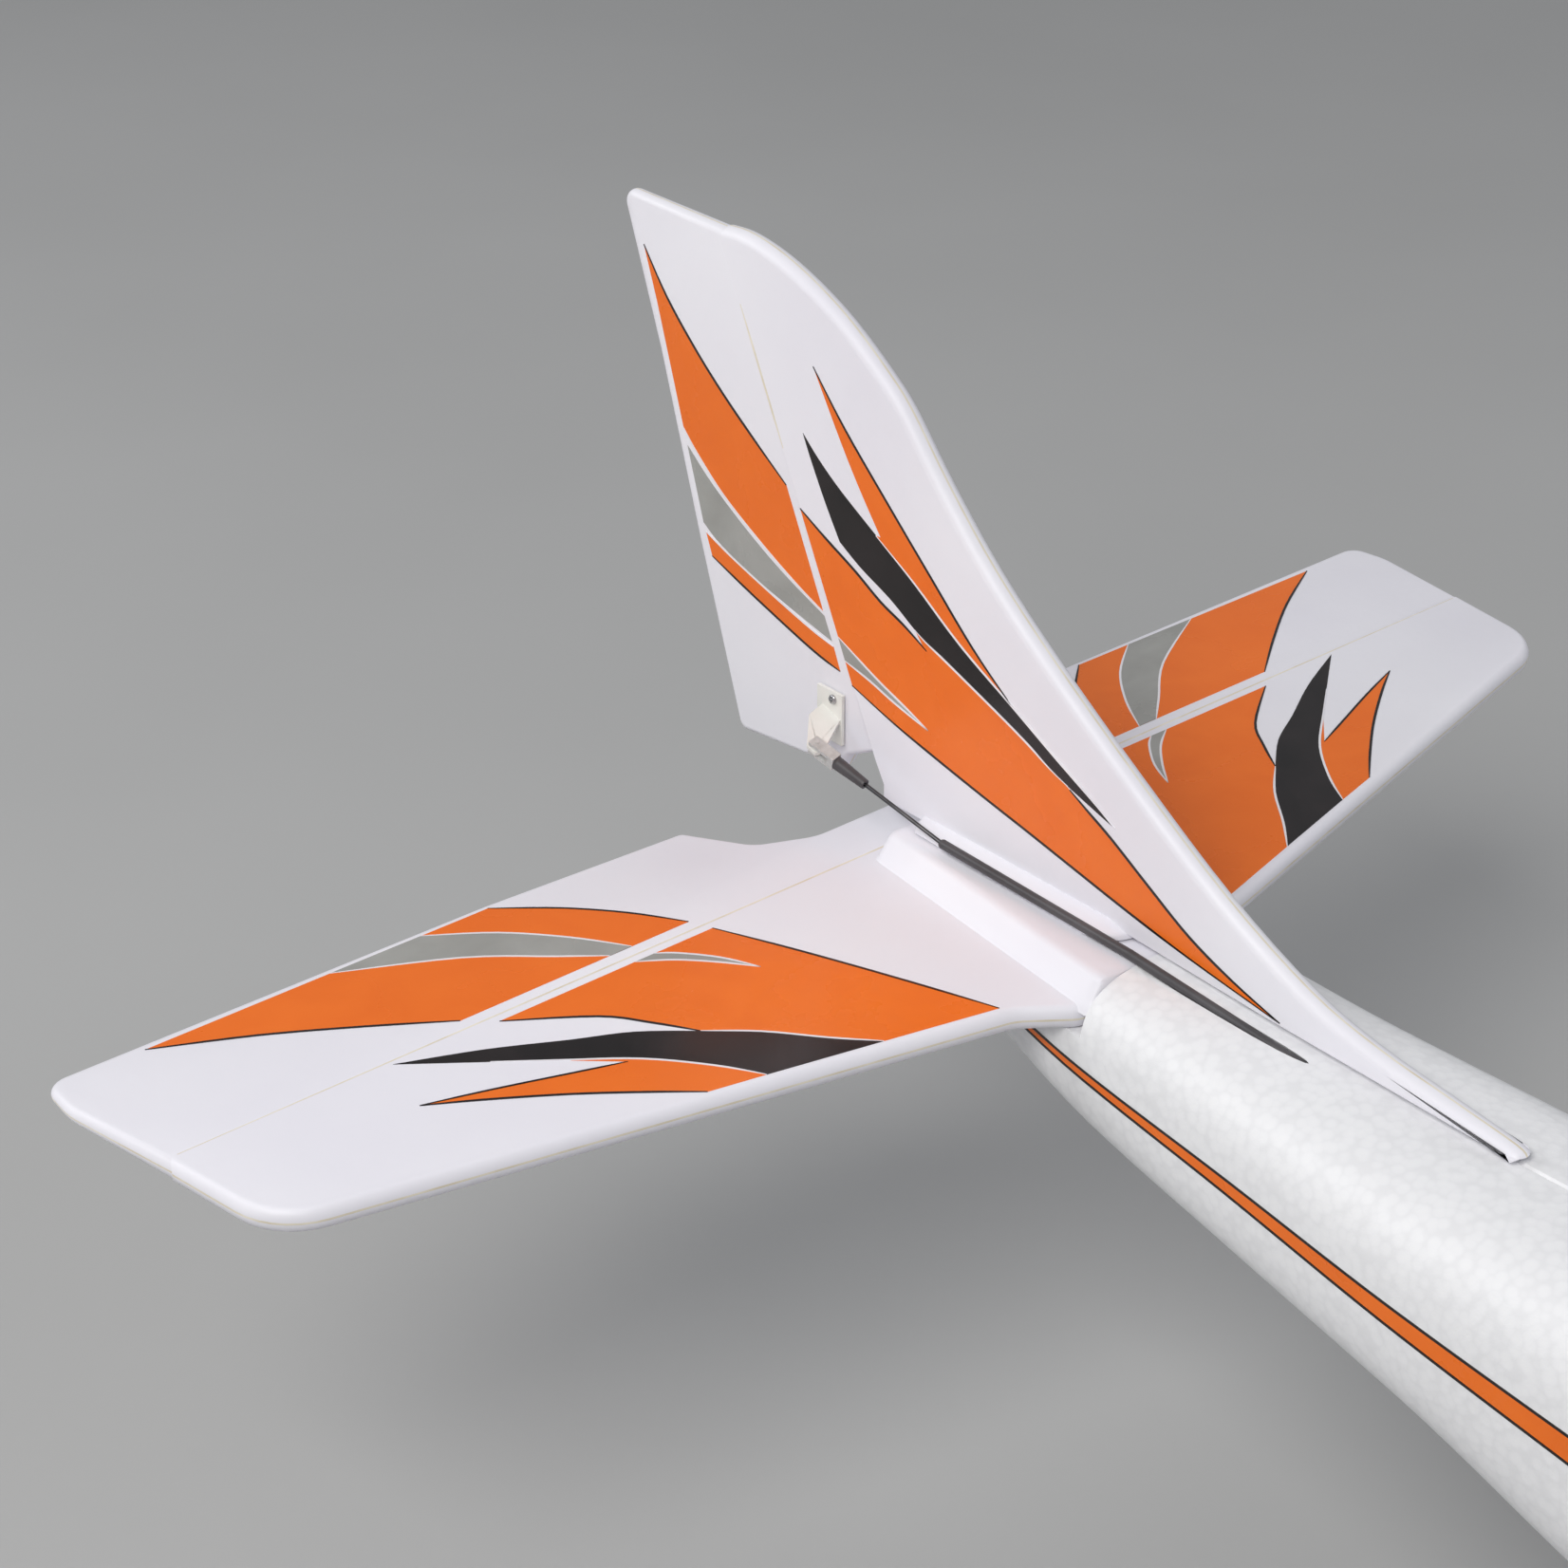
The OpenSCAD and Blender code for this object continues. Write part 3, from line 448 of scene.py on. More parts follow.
def decal(name, border, place, height, side, material, body, lift):
    """Thin vinyl patch on a plate: border points at a lift above the foam."""
    count = len(border)
    verts = []
    for level in (-0.12, lift):
        verts += [place(u, v, side * (height(u, v) + level)) for u, v in border]
    faces = [tuple(range(count)), tuple(range(count, 2 * count))]
    faces += [(i, (i + 1) % count, count + (i + 1) % count, count + i) for i in range(count)]
    return make(name, verts, faces, [material], body, sharp=30)


def ribbon_border(line, width):
    """Border of a thin line that narrows towards its free ends, to about a third of its width."""
    count = len(line)
    left, right = [], []
    for i, p in enumerate(line):
        before, after = line[max(i - 1, 0)], line[min(i + 1, count - 1)]
        e = unit(before, after)
        share = min(1.0, 0.35 + 3 * min(i, count - 1 - i) / count)
        w = width * share / 2
        left.append((p[0] - e[1] * w, p[1] + e[0] * w))
        right.append((p[0] + e[1] * w, p[1] - e[0] * w))
    return left + right[::-1]


class Surface:
    """A face of a foam plate that decals are laid on."""

    def __init__(self, prefix, place, height, side, body, mirrored=False):
        self.prefix, self.place, self.height = prefix, place, height
        self.side, self.body, self.mirrored = side, body, mirrored
        self.count = 0

    def turned(self, border):
        return [(-u, v) for u, v in border] if self.mirrored else border

    def patch(self, kind, border, material, lift):
        self.count += 1
        decal(f"{self.prefix}_{kind}_{self.count}", self.turned(border), self.place,
              self.height, self.side, material, self.body, lift)

    def line(self, kind, points, material, width, lift=0.2):
        self.patch(kind, ribbon_border(points, width), material, lift)


# ---------- tailplane ----------
stab_half = [(31, -112.6, 9, "round"), (47, -100.5, 16, "round"), (272.5, -46.2, 24, "round"),
             (280, -LIP, 0, "socket")]
stab_corners = ([(-280, -LIP, 0, "round"), (-272.5, -46.2, 24, "round"),
                 (-47, -100.5, 16, "round"), (-31, -112.6, 9, "round")] + stab_half)
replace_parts(plate("tailplane_foam", stab_corners, flat_place, "airframe", edge=2.8),
            "stabilizer")

elevator_half = [(279.6, 0, 0, "round"), (287.6, 40, 30, "round"), (286.3, 56.8, 7, "round"),
                 (131, 55.7, 0, "round"), (54.5, 51.2, 3, "round"), (41.5, 29, 12, "round"),
                 (23, 20.4, 18, "round")]
elevator_corners = ([(-279.6, 0, 0, "nose")] + elevator_half
                    + [(-u, v, r, "round") for u, v, r, k in reversed(elevator_half[1:])])


def elevator_thick(u, v):
    return 1 - 0.42 * max(0.0, v) / 56


plate("elevator_foam", elevator_corners, flat_place, "elevator", half=NOSE_R, edge=2.4,
      thick=elevator_thick)
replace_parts(bpy.data.objects["elevator_foam"], "elevator")


def stab_height(u, v):
    return HALF_T


def elevator_height(u, v):
    return NOSE_R * elevator_thick(u, v)


# curves shared by the tailplane decals: distance from the middle, distance behind the hinge
stab_inner = spline([(86.5, -5), (76, -29), (66.7, -52), (57.7, -75.5), (50, -96.4)])
stab_pin = spline([(88, -87.2), (99, -75.5), (112, -60), (125.7, -47.9)])
stab_outer = spline([(125.7, -47.9), (134, -35), (144, -22), (168, -5)])
black_low = spline([(125.5, -78.2), (134, -64.8), (148, -48.3), (167, -33), (205, -3.5)])
black_high = spline([(125.7, -47.9), (141, -35.5), (158, -26.6), (180, -14.5), (205, -3.5)])
second_low = spline([(144, -73.9), (157, -63), (175, -49.1), (196, -35), (211, -26)])
second_high = spline([(152, -46.8), (168, -41), (190, -33), (211, -26)])
grey_tip_up = spline([(109.5, -5), (103.9, -9.5), (95.5, -20), (89.5, -32.2)])
grey_tip_low = spline([(89.5, -32.2), (97.4, -22), (107, -12), (117, -5)])
elev_inner = spline([(89.5, 3.2), (100.2, 20.5), (114, 37), (131.5, 52.6)])
elev_grey_in = spline([(112, 3.2), (123, 20.5), (138, 38), (157, 52.6)])
elev_grey_out = spline([(120.5, 3.2), (133, 14), (155, 33), (190.5, 52.6)])
elev_outer = spline([(176.5, 3.2), (200, 20), (226, 37), (255, 52.6)])


def tailplane_decals(mirrored):
    tag = "starboard" if mirrored else "port"
    top = Surface(f"tailplane_{tag}", flat_place, stab_height, 1, "airframe", mirrored)
    main = stab_inner + stab_pin + stab_outer[1:]
    top.patch("orange", main, ORANGE, 0.10)
    top.patch("grey", grey_tip_up + grey_tip_low[1:], GREY, 0.14)
    top.patch("black", black_low + black_high[::-1] + stab_pin[::-1][1:], BLACK, 0.13)
    second = second_low + second_high[::-1] + black_low[:16][::-1]
    top.patch("second", second, ORANGE, 0.10)
    top.line("edge_inner", stab_inner, BLACK, 0.9)
    top.line("edge_outer", stab_outer, BLACK, 0.9)
    top.line("edge_second", second_low, BLACK, 0.9)
    top.line("edge_second_top", second_high, BLACK, 0.8)
    top.line("pin_main", stab_pin, WHITE, 0.8)
    top.line("pin_black", black_low[:18], WHITE, 0.8)
    top.line("pin_grey_in", grey_tip_up, WHITE, 0.8)
    top.line("pin_grey_out", grey_tip_low, WHITE, 0.8)
    aft = Surface(f"elevator_{tag}", flat_place, elevator_height, 1, "elevator", mirrored)
    aft.patch("orange", elev_inner + elev_outer[::-1], ORANGE, 0.10)
    aft.patch("grey", elev_grey_in + elev_grey_out[::-1], GREY, 0.14)
    aft.line("edge_inner", elev_inner, BLACK, 0.9)
    aft.line("edge_outer", elev_outer, BLACK, 0.9)
    aft.line("pin_grey_in", elev_grey_in, WHITE, 0.8)
    aft.line("pin_grey_out", elev_grey_out, WHITE, 0.8)


tailplane_decals(True)
tailplane_decals(False)

# ---------- fin and rudder ----------
fin_front = spline([on_hinge(TOP_ALONG, -LIP), (78.5, 184.2), (64.5, 182), (50.7, 177.8),
                    (37, 172), (26, 166), (12.6, 157), (1.5, 148), (-16, 128.5), (-38, 107),
                    (-65, 86), (-101.5, 61), (-139, 37.6), (-173, 21.6), (-199, 15),
                    (-227, 11.4), (-249, 8.6), (-253, 6.6)], 4)
fin_corners = ([(u, v, 0, "round") for u, v in fin_front]
               + [(-251.5, 5.4, 0, "square"), (-160, 7.2, 0, "square"),
                  (-105, 9.25, 0, "square"), (8, 9.25, 0, "square"), (8, 15, 0, "square"),
                  (*on_hinge(-2, -LIP), 0, "socket")])
plate("fin_foam", fin_corners, fin_place, "airframe", edge=3.2)
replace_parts(bpy.data.objects["fin_foam"], "fin")

rudder_corners = [(*on_hinge(0.5, 0), 0, "round"), (26, 17.5, 3, "round"), (29.5, 11, 5, "round"),
                  (84, 4.4, 4, "round"), (105.5, 71, 0, "round"), (124, 132, 0, "round"),
                  (142.6, 184, 4.5, "round"), (*on_hinge(TOP_ALONG, 0), 0, "nose")]


def rudder_back(u, v):
    """Distance behind the rudder axis."""
    return ((u - RUDDER_AXIS[0]) * math.cos(RAKE) - (v - RUDDER_AXIS[1]) * math.sin(RAKE))


def rudder_thick(u, v):
    return 1 - 0.45 * min(1.0, max(0.0, rudder_back(u, v)) / 70)


plate("rudder_foam", rudder_corners, fin_place, "rudder", half=NOSE_R, edge=2.2,
      thick=rudder_thick)
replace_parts(bpy.data.objects["rudder_foam"], "rudder")


def fin_height(u, v):
    return HALF_T


def rudder_height(u, v):
    return NOSE_R * rudder_thick(u, v)


# curves of the fin and rudder decals: distance behind the hinge line of the tailplane, height
swoosh_left = spline([(48, 126.2), (44.2, 118.6), (37.2, 106.1), (29.8, 94.4)])
swoosh_kink = spline([(29.8, 94.4), (19.6, 88.9), (5, 82.8), (-9, 75.2), (-21, 70.9),
                      (-44.6, 62.3), (-58.3, 57), (-71.5, 51.2), (-96.6, 43.6)])
swoosh_right = spline([(48, 126.2), (40.5, 119.8), (29.9, 112.5), (12.5, 102.6), (-5.9, 92.4),
                       (-27.3, 79), (-50.3, 67.4), (-69.9, 57.4), (-87.5, 48.8), (-96.6, 43.6)])
fin_top = spline([(49.4, 99.5), (37.2, 93.5), (22.3, 86.8), (10, 80.4), (-1, 76.3), (-12, 71.2)])
fin_side = [(49.4, 99.5), (40.4, 81), (31, 61.6), (23.3, 45.4)]
fin_right = spline([(-77, 48.8), (-84.9, 44.8), (-95.7, 39.4), (-112, 30), (-129.1, 20.6),
                    (-147, 13.8), (-166, 8.6)])
fin_low = spline([(23.3, 45.4), (2.8, 39.6), (-17.7, 35), (-39, 30.6), (-59.8, 26.6),
                  (-79.7, 22.6), (-104, 17.8), (-130, 13.4), (-166, 8.6)])
fin_grey_up = spline([(30.4, 60.4), (11.8, 52.6), (-1.6, 47.9), (-13.5, 43.5)])
fin_grey_low = spline([(26.9, 53), (14.5, 50.4), (3, 47.2), (-13.5, 43.5)])
second_right = spline([(43, 150.2), (27.3, 133.5), (5.6, 113.8), (-12.8, 97.5), (-32.8, 80),
                       (-50.3, 67.4)])
second_left = spline([(43, 150.2), (36, 139), (28, 126.5), (19.9, 115), (10.3, 102.6)])
rud_te = [(130.3, 167), (124, 149), (117.2, 127), (111.4, 108)]
rud_high = spline([(130.3, 167), (118.4, 152), (103.8, 138.3), (89.2, 126.8), (73.7, 116.2),
                   (56.6, 105.2)])
rud_pin = spline([(111.4, 108), (103.8, 100.6), (90, 90.2), (70.8, 80), (52.4, 71.7),
                  (38.2, 66.6)])
rud_grey_in = spline([(109.4, 102), (95.9, 92), (77.2, 81.4), (58.6, 72.8), (37.6, 65.2)])
rud_grey_out = spline([(101.6, 76.4), (91.9, 71.2), (71, 65), (49.5, 60.4), (33.8, 57.4)])
rud_low_in = spline([(100.4, 73.4), (86.9, 69), (65.1, 63), (44.7, 58), (33, 55.8)])
rud_low = spline([(97.2, 65.4), (74.5, 58.6), (44.7, 50.6), (29.6, 48)])


def fin_decals(side):
    tag = "port" if side > 0 else "starboard"
    face = Surface(f"fin_{tag}", fin_place, fin_height, side, "airframe")
    main = (fin_top[:-1] + swoosh_kink[14:-5] + fin_right[1:] + fin_low[::-1][1:]
            + fin_side[::-1][1:-1])
    face.patch("orange", main, ORANGE, 0.10)
    face.patch("grey", fin_grey_up + fin_grey_low[::-1][1:], GREY, 0.14)
    face.patch("black", swoosh_left + swoosh_kink[1:] + swoosh_right[::-1][1:-1], BLACK, 0.13)
    tail_line = [p for p in swoosh_right if p[1] < 104 and p[1] > 67]
    face.patch("second", second_left + tail_line + second_right[::-1][1:-1], ORANGE, 0.10)
    face.line("edge_top", fin_top, BLACK, 0.9)
    face.line("edge_right", fin_right, BLACK, 0.9)
    face.line("edge_low", fin_low, BLACK, 0.9)
    face.line("edge_second", second_right, BLACK, 0.8)
    face.line("pin_swoosh", swoosh_kink[14:-4], WHITE, 0.8)
    face.line("pin_second", [p for p in swoosh_right if p[1] < 104], WHITE, 0.8)
    face.line("pin_grey_up", fin_grey_up, WHITE, 0.8)
    face.line("pin_grey_low", fin_grey_low, WHITE, 0.8)
    aft = Surface(f"rudder_{tag}", fin_place, rudder_height, side, "rudder")
    aft.patch("orange", rud_te + rud_pin[1:] + rud_high[::-1][:-1], ORANGE, 0.10)
    aft.patch("grey", rud_grey_in + rud_grey_out[::-1], GREY, 0.12)
    aft.patch("second", rud_low_in + rud_low[::-1], ORANGE, 0.10)
    aft.line("edge_high", rud_high, BLACK, 0.9)
    aft.line("edge_low", rud_low, BLACK, 0.9)
    aft.line("pin_orange", rud_pin, WHITE, 0.8)
    aft.line("pin_low", rud_low_in, WHITE, 0.8)


fin_decals(-1)
fin_decals(1)
for side in (-1, 1):
    slit = Surface("hinge_slit_port" if side > 0 else "hinge_slit_starboard", fin_place,
                   fin_height, side, "airframe")
    slit.line("cream", [on_hinge(a, -LIP - 0.5) for a in range(104, 153, 6)], CREAM, 0.9, 0.05)

crease = Surface("elevator_crease", flat_place, stab_height, 1, "airframe")
crease.line("cream", [(u, -LIP - 0.55) for u in range(-276, 277, 12)], CREAM, 0.7, 0.04)

# ---------- fuselage ----------
STATIONS = [[-488, 27, 145, 199], [-468, 35, 131, 207], [-430, 43, 113, 213],
            [-380, 50, 99, 220], [-332, 54, 91, 230], [-300, 55, 88, 238],
            [-200, 55, 88, 238], [-84, 54, 90, 227], [0, 51, 100, 219], [80, 48, 116, 213],
            [148, 45, 135, 210], [220, 39, 146, 211], [283, 34.5, 157, 213.6],
            [333, 27, 170, 213.8], [380, 20, 184, 213.8], [389, 15, 188, 213.5]]
STATION_Y = [s[0] for s in STATIONS]


def station(y):
    """Half width, bottom and top of the fuselage at y, on a curve without overshoot."""
    y = max(STATION_Y[0], min(STATION_Y[-1], y))
    i = max(k for k in range(len(STATIONS) - 1) if STATION_Y[k] <= y)
    a, b = STATIONS[i], STATIONS[i + 1]
    before = STATIONS[max(i - 1, 0)]
    after = STATIONS[min(i + 2, len(STATIONS) - 1)]
    h = b[0] - a[0]
    t = (y - a[0]) / h
    values = []
    for k in (1, 2, 3):
        d = (b[k] - a[k]) / h
        d0 = (a[k] - before[k]) / (a[0] - before[0]) if before is not a else d
        d1 = (after[k] - b[k]) / (after[0] - b[0]) if after is not b else d
        m0 = 2 * d0 * d / (d0 + d) if d0 * d > 0 else 0.0
        m1 = 2 * d1 * d / (d1 + d) if d1 * d > 0 else 0.0
        values.append(a[k] * (1 + 2 * t) * (1 - t) ** 2 + m0 * h * t * (1 - t) ** 2
                      + b[k] * t * t * (3 - 2 * t) + m1 * h * t * t * (t - 1))
    return values


def bow(v, power):
    return math.copysign(abs(v) ** (2 / power), v)


def section_point(y, angle, shrink=0.0):
    """Point (x, z) of the fuselage section at y: angle 0 is the side and 90 the top."""
    w, low, high = station(y)
    w, low, high = w - shrink, low + shrink, high - shrink
    centre = low + 0.55 * (high - low)
    s, c = math.sin(math.radians(angle)), math.cos(math.radians(angle))
    if s > 0:
        return w * bow(c, 3.4), centre + (high - centre) * bow(s, 3.4)
    return w * bow(c, 3.4), centre + (centre - low) * bow(s, 3)


def loft(rings, closed=True):
    """Points and faces of a skin over rings that all have the same number of points."""
    count = len(rings[0])
    verts = [p for ring in rings for p in ring]
    faces = []
    for k in range(len(rings) - 1):
        for i in range(count):
            j = (i + 1) % count
            faces.append((k * count + i, k * count + j, (k + 1) * count + j,
                          (k + 1) * count + i))
    if closed:
        faces.append(tuple(range(count)))
        faces.append(tuple(range((len(rings) - 1) * count, len(rings) * count)))
    return verts, faces


def solid(name, verts, faces):
    """Closed mesh object for cutting or joining, not part of the model."""
    return make(name, verts, faces, [], None)


def tube(points, diameter, steps=20):
    """Round tube along points in millimetres."""
    points = [Vector(p) for p in points]
    rings = []
    for i, p in enumerate(points):
        along = (points[min(i + 1, len(points) - 1)] - points[max(i - 1, 0)]).normalized()
        side = along.cross(Vector((0, 0, 1)) if abs(along.z) < 0.9 else Vector((1, 0, 0)))
        side.normalize()
        up = side.cross(along)
        rings.append([p + (side * math.cos(2 * math.pi * k / steps)
                           + up * math.sin(2 * math.pi * k / steps)) * diameter / 2
                      for k in range(steps)])
    return loft(rings)


def block(x0, x1, y0, y1, z0, z1):
    corners = [(x, y, z) for z in (z0, z1) for x, y in
               ((x0, y0), (x1, y0), (x1, y1), (x0, y1))]
    faces = [(0, 1, 2, 3), (4, 5, 6, 7)]
    faces += [(i, (i + 1) % 4, 4 + (i + 1) % 4, 4 + i) for i in range(4)]
    return corners, faces


def prism(profile, y0, y1):
    """Profile in x and z drawn along y."""
    return loft([[(x, y, z) for x, z in profile] for y in (y0, y1)])


def cut(target, shape, operation="DIFFERENCE"):
    """Boolean of a closed shape on a piece, applied at once."""
    cutter = solid("cutter", *shape)
    modifier = target.modifiers.new("cut", "BOOLEAN")
    modifier.operation = operation
    modifier.solver = "EXACT"
    modifier.object = cutter
    graph = bpy.context.evaluated_depsgraph_get()
    mesh = bpy.data.meshes.new_from_object(target.evaluated_get(graph))
    target.modifiers.clear()
    old = target.data
    target.data = mesh
    bpy.data.meshes.remove(old)
    gone = cutter.data
    bpy.data.objects.remove(cutter)
    bpy.data.meshes.remove(gone)
    return target


def reshade(piece, sharp=40):
    mesh = piece.data
    mesh.name = piece.name
    mesh.shade_smooth()
    mesh.set_sharp_from_angle(angle=math.radians(sharp))


ARC = [k * 4.5 - 90 for k in range(41)]


def half_ring(y, side, shrink=0.0):
    """Half section with a small rounding at the seam."""
    points = [(side * max(x, 0.8), y, z) for x, z in
              (section_point(y, a, shrink) for a in ARC)]
    low, high = points[0][2], points[-1][2]
    return [(side * 0.1, y, low + 0.7)] + points + [(side * 0.1, y, high - 0.7)]


def full_ring(y, shrink=0.0):
    return [(x, y, z) for x, z in (section_point(y, 3 + k * 6, shrink) for k in range(60))]


def y_steps(first, last, step):
    count = max(1, round((last - first) / step))
    return [first + (last - first) * k / count for k in range(count + 1)]


SLEEVE_LINE = [(-37, 30, 164.2), (-14, 150, 189), (-8.5, 212, 208.5), (-11, 286, 215.6),
               (-11, 369, 217.4)]
GEAR_Y = (mm_box("gear_block")[0].y + mm_box("gear_block")[1].y) / 2
HATCH_LOW, HATCH_HIGH = mm_box("hatch")
FIREWALL_Y = -461.0
SEAT_Z = 214.8
SCREW_Y = -107.0


def fuselage_half(side):
    tag = "left" if side > 0 else "right"
    rings = [half_ring(-488, side, 2.0), half_ring(-487.3, side, 0.6)]
    rings += [half_ring(y, side) for y in y_steps(-486, 388, 9.5)]
    rings += [half_ring(389, side, 1.2)]
    rings[0] = [(x, -488, z) for x, y, z in rings[0]]
    piece = make(f"fuselage_{tag}_foam", *loft(rings), [BEADS], None)
    cut(piece, loft([full_ring(y, 8) for y in y_steps(-468, 220, 12)]))
    cut(piece, tube([(0, -500, SHAFT_Z), (0, FIREWALL_Y, SHAFT_Z)], 48, 48))
    cut(piece, block(-30, 30, -424, -337, 193, 253))
    rise = math.tan(DIHEDRAL)
    seat = [(-2 * side, SEAT_Z), (0, SEAT_Z), (side * 80, SEAT_Z + 80 * rise), (side * 80, 280),
            (-2 * side, 280)]
    cut(piece, prism(seat, WING_LE - 1.5, WING_LE + ROOT_CHORD + 1))
    cut(piece, block(-60, 60, HINGE_Y - 115.2, HINGE_Y + 25, STAB_Z - 4.05, STAB_Z + 36))
    if side < 0:
        cut(piece, tube([(-45, -12, 155.5), *SLEEVE_LINE[:3]], 3.9))
        cut(piece, tube([(-8.5, 205, 206.5), *SLEEVE_LINE[2:]], 3.9))
    else:
        cut(piece, tube([(37, 30, 164.2), (23, 361, STAB_Z - 18)], 3.9))
        cut(piece, tube([(23.6, 332, STAB_Z - 19.4), (24, 402, STAB_Z - 19)], 9))
    cut(piece, block(-31, 31, GEAR_Y - 14.2, GEAR_Y + 14.2, 80, 96.2))
    cut(piece, tube([(0, -440, 90), (0, -440, 150)], 16))
    for k in range(3):
        x = side * (14 + 8 * k)
        cut(piece, block(x - 2, x + 2, -412, -378, 90, 130))
    cut(piece, tube([(side * 24, SCREW_Y, 180), (side * 24, SCREW_Y, 240)], 5.3))
    for y in (306, 356):
        cut(piece, tube([(0, y, 150), (0, y, 215)], 6.4, 32))
    reshade(piece, 38)
    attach(piece, "airframe")
    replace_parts(piece, f"fuselage_{tag}")
    return piece


fuselage_half(1)
fuselage_half(-1)

# ---------- raised middle of the tailplane and foot of the fin ----------
POD_FRONT = -114.8
POD_REAR = -6.0
POD_TOP = 8.75


def pod_ring(back, sink, slim):
    """Flat-topped section with bevelled sides that narrows towards the rear."""
    share = (back - POD_FRONT) / (POD_REAR - POD_FRONT)
    base = 31.5 - 11.5 * share - slim
    top = base - 6.5
    high = POD_TOP - sink
    half = [(base + 0.5, -1.6), (base - 0.3, 0.25), (base - 1.3, 1.3), (top + 1.2, high - 1.5),
            (top + 0.3, high - 0.6), (top - 0.9, high - 0.12), (top - 2.4, high)]
    profile = half + [(top * f, high) for f in (0.6, 0.3, 0.0)]
    profile += [(-x, z) for x, z in reversed(profile[:-1])]
    return [(x, back + HINGE_Y, STAB_Z + HALF_T + z) for x, z in profile]


pod_rings = [pod_ring(POD_FRONT, 0.8, 0.8), pod_ring(POD_FRONT + 0.8, 0.1, 0.1)]
pod_rings += [pod_ring(back, 0.0, 0.0) for back in range(-110, -12, 14)]
pod_rings += [pod_ring(POD_REAR - 3, 0.0, 0.0), pod_ring(POD_REAR - 1.2, 0.3, 0.2),
              pod_ring(POD_REAR - 0.3, 1.0, 0.7), pod_ring(POD_REAR, 2.0, 1.5)]
make("tailplane_pod", *loft(pod_rings), [SKIN], "airframe", sharp=48)


def foot_ring(front, rear, height):
    """Outline of the strip under the fin at a height, wider and rounded at its front end."""
    ring = []
    for k in range(13):
        angle = math.radians(180 + 15 * k)
        ring.append((math.cos(angle) * front, math.sin(angle) * front - 93))
    for k in range(9):
        angle = math.radians(22.5 * k)
        ring.append((math.cos(angle) * rear, math.sin(angle) * 3.0 - 14))
    return [(x, y + HINGE_Y, FIN_Z + height) for x, y in ring]


foot = [foot_ring(a, b, h) for a, b, h in
        ((11.9, 9.4, 8.2), (11.6, 9.1, 9.6), (10.6, 8.3, 10.3), (8.4, 7.0, 10.7),
         (6.0, 5.6, 11.8), (5.0, 4.9, 12.1))]
make("fin_foot_strip", *loft(foot), [SKIN], "airframe", sharp=50)


# ---------- colour scheme of the fuselage ----------
def side_point(y, z, side, lift):
    """Point of the fuselage side at y and z, moved out by a lift."""
    w, low, high = station(y)
    centre = low + 0.55 * (high - low)
    if z > centre:
        rise = min(1.0, (z - centre) / (high - centre)) ** 1.7
    else:
        rise = min(1.0, (centre - z) / (centre - low)) ** 1.5
    x = w * max(0.0, 1 - rise * rise) ** (0.5 * 2 / 3.4)
    return (side * (x + lift), y, z)


def side_band(name, first, last, low, high, material, lift, step=9):
    for side in (1, -1):
        rings = []
        for y in y_steps(first, last, step):
            heights = [low(y) + (high(y) - low(y)) * k / 12 for k in range(13)]
            ring = [side_point(y, z, side, lift) for z in heights]
            ring += [side_point(y, z, side, -0.15) for z in reversed(heights)]
            rings.append(ring)
        tag = "port" if side > 0 else "starboard"
        make(f"fuselage_{name}_{tag}", *loft(rings), [material], "airframe", sharp=30)


def stripe_mid(y):
    share = (345 - y) / 800
    return 190.5 - 48 * share ** 0.88


def stripe_half(y):
    return 0.5 + 13 * ((345 - y) / 800) ** 1.25


side_band("stripe_orange", -470, 344, lambda y: stripe_mid(y) - stripe_half(y),
          lambda y: stripe_mid(y) + stripe_half(y), ORANGE, 0.2)
side_band("stripe_low", -470, 344, lambda y: stripe_mid(y) - stripe_half(y) - 1.0,
          lambda y: stripe_mid(y) - stripe_half(y) - 0.1, BLACK, 0.26)
side_band("stripe_high", -470, 344, lambda y: stripe_mid(y) + stripe_half(y) + 0.1,
          lambda y: stripe_mid(y) + stripe_half(y) + 0.9, BLACK, 0.26)
side_band("swoosh_black", -440, -90, lambda y: stripe_mid(y) - 34 + 18 * (y + 470) / 380,
          lambda y: stripe_mid(y) - stripe_half(y) - 3.5, BLACK, 0.3)
side_band("swoosh_grey", -455, -150, lambda y: stripe_mid(y) + stripe_half(y) + 3.5,
          lambda y: stripe_mid(y) + stripe_half(y) + 3.6 + 7 * (-150 - y) / 305, GREY, 0.14)


# ---------- wing and ailerons ----------
FOIL = spline([(1, 0.0), (0.5, 0.0), (0.12, 0.0), (0.04, 0.05), (0.01, 0.15), (0, 0.3),
               (0.02, 0.53), (0.06, 0.73), (0.15, 0.92), (0.3, 1.0), (0.45, 0.95), (0.6, 0.8),
               (0.75, 0.57), (0.9, 0.27), (1, 0.06)], 5)
TAPER = PANEL - 14
AILERON_IN = 330.0
AILERON_OUT = 700.0
AILERON_Y = -141.0
SERVO_Y = -232.0
SERVO_X = 420.0


def leading(x):
    return WING_LE + 14 * x / TAPER


def chord(x):
    return ROOT_CHORD - (ROOT_CHORD - TIP_CHORD) * x / TAPER


def rib(x, le, length, thickness):
    return [(x, le + f * length, h * thickness) for f, h in FOIL]


def to_wing(piece, mirrored):
    """Moves a piece made flat into its place on the port or the starboard wing."""
    mesh = piece.data
    for vertex in mesh.vertices:
        place = wing_place(*(vertex.co / MM))
        if mirrored:
            place.x = -place.x
        vertex.co = place * MM
    if mirrored:
        mesh.flip_normals()
    reshade(piece, 36)


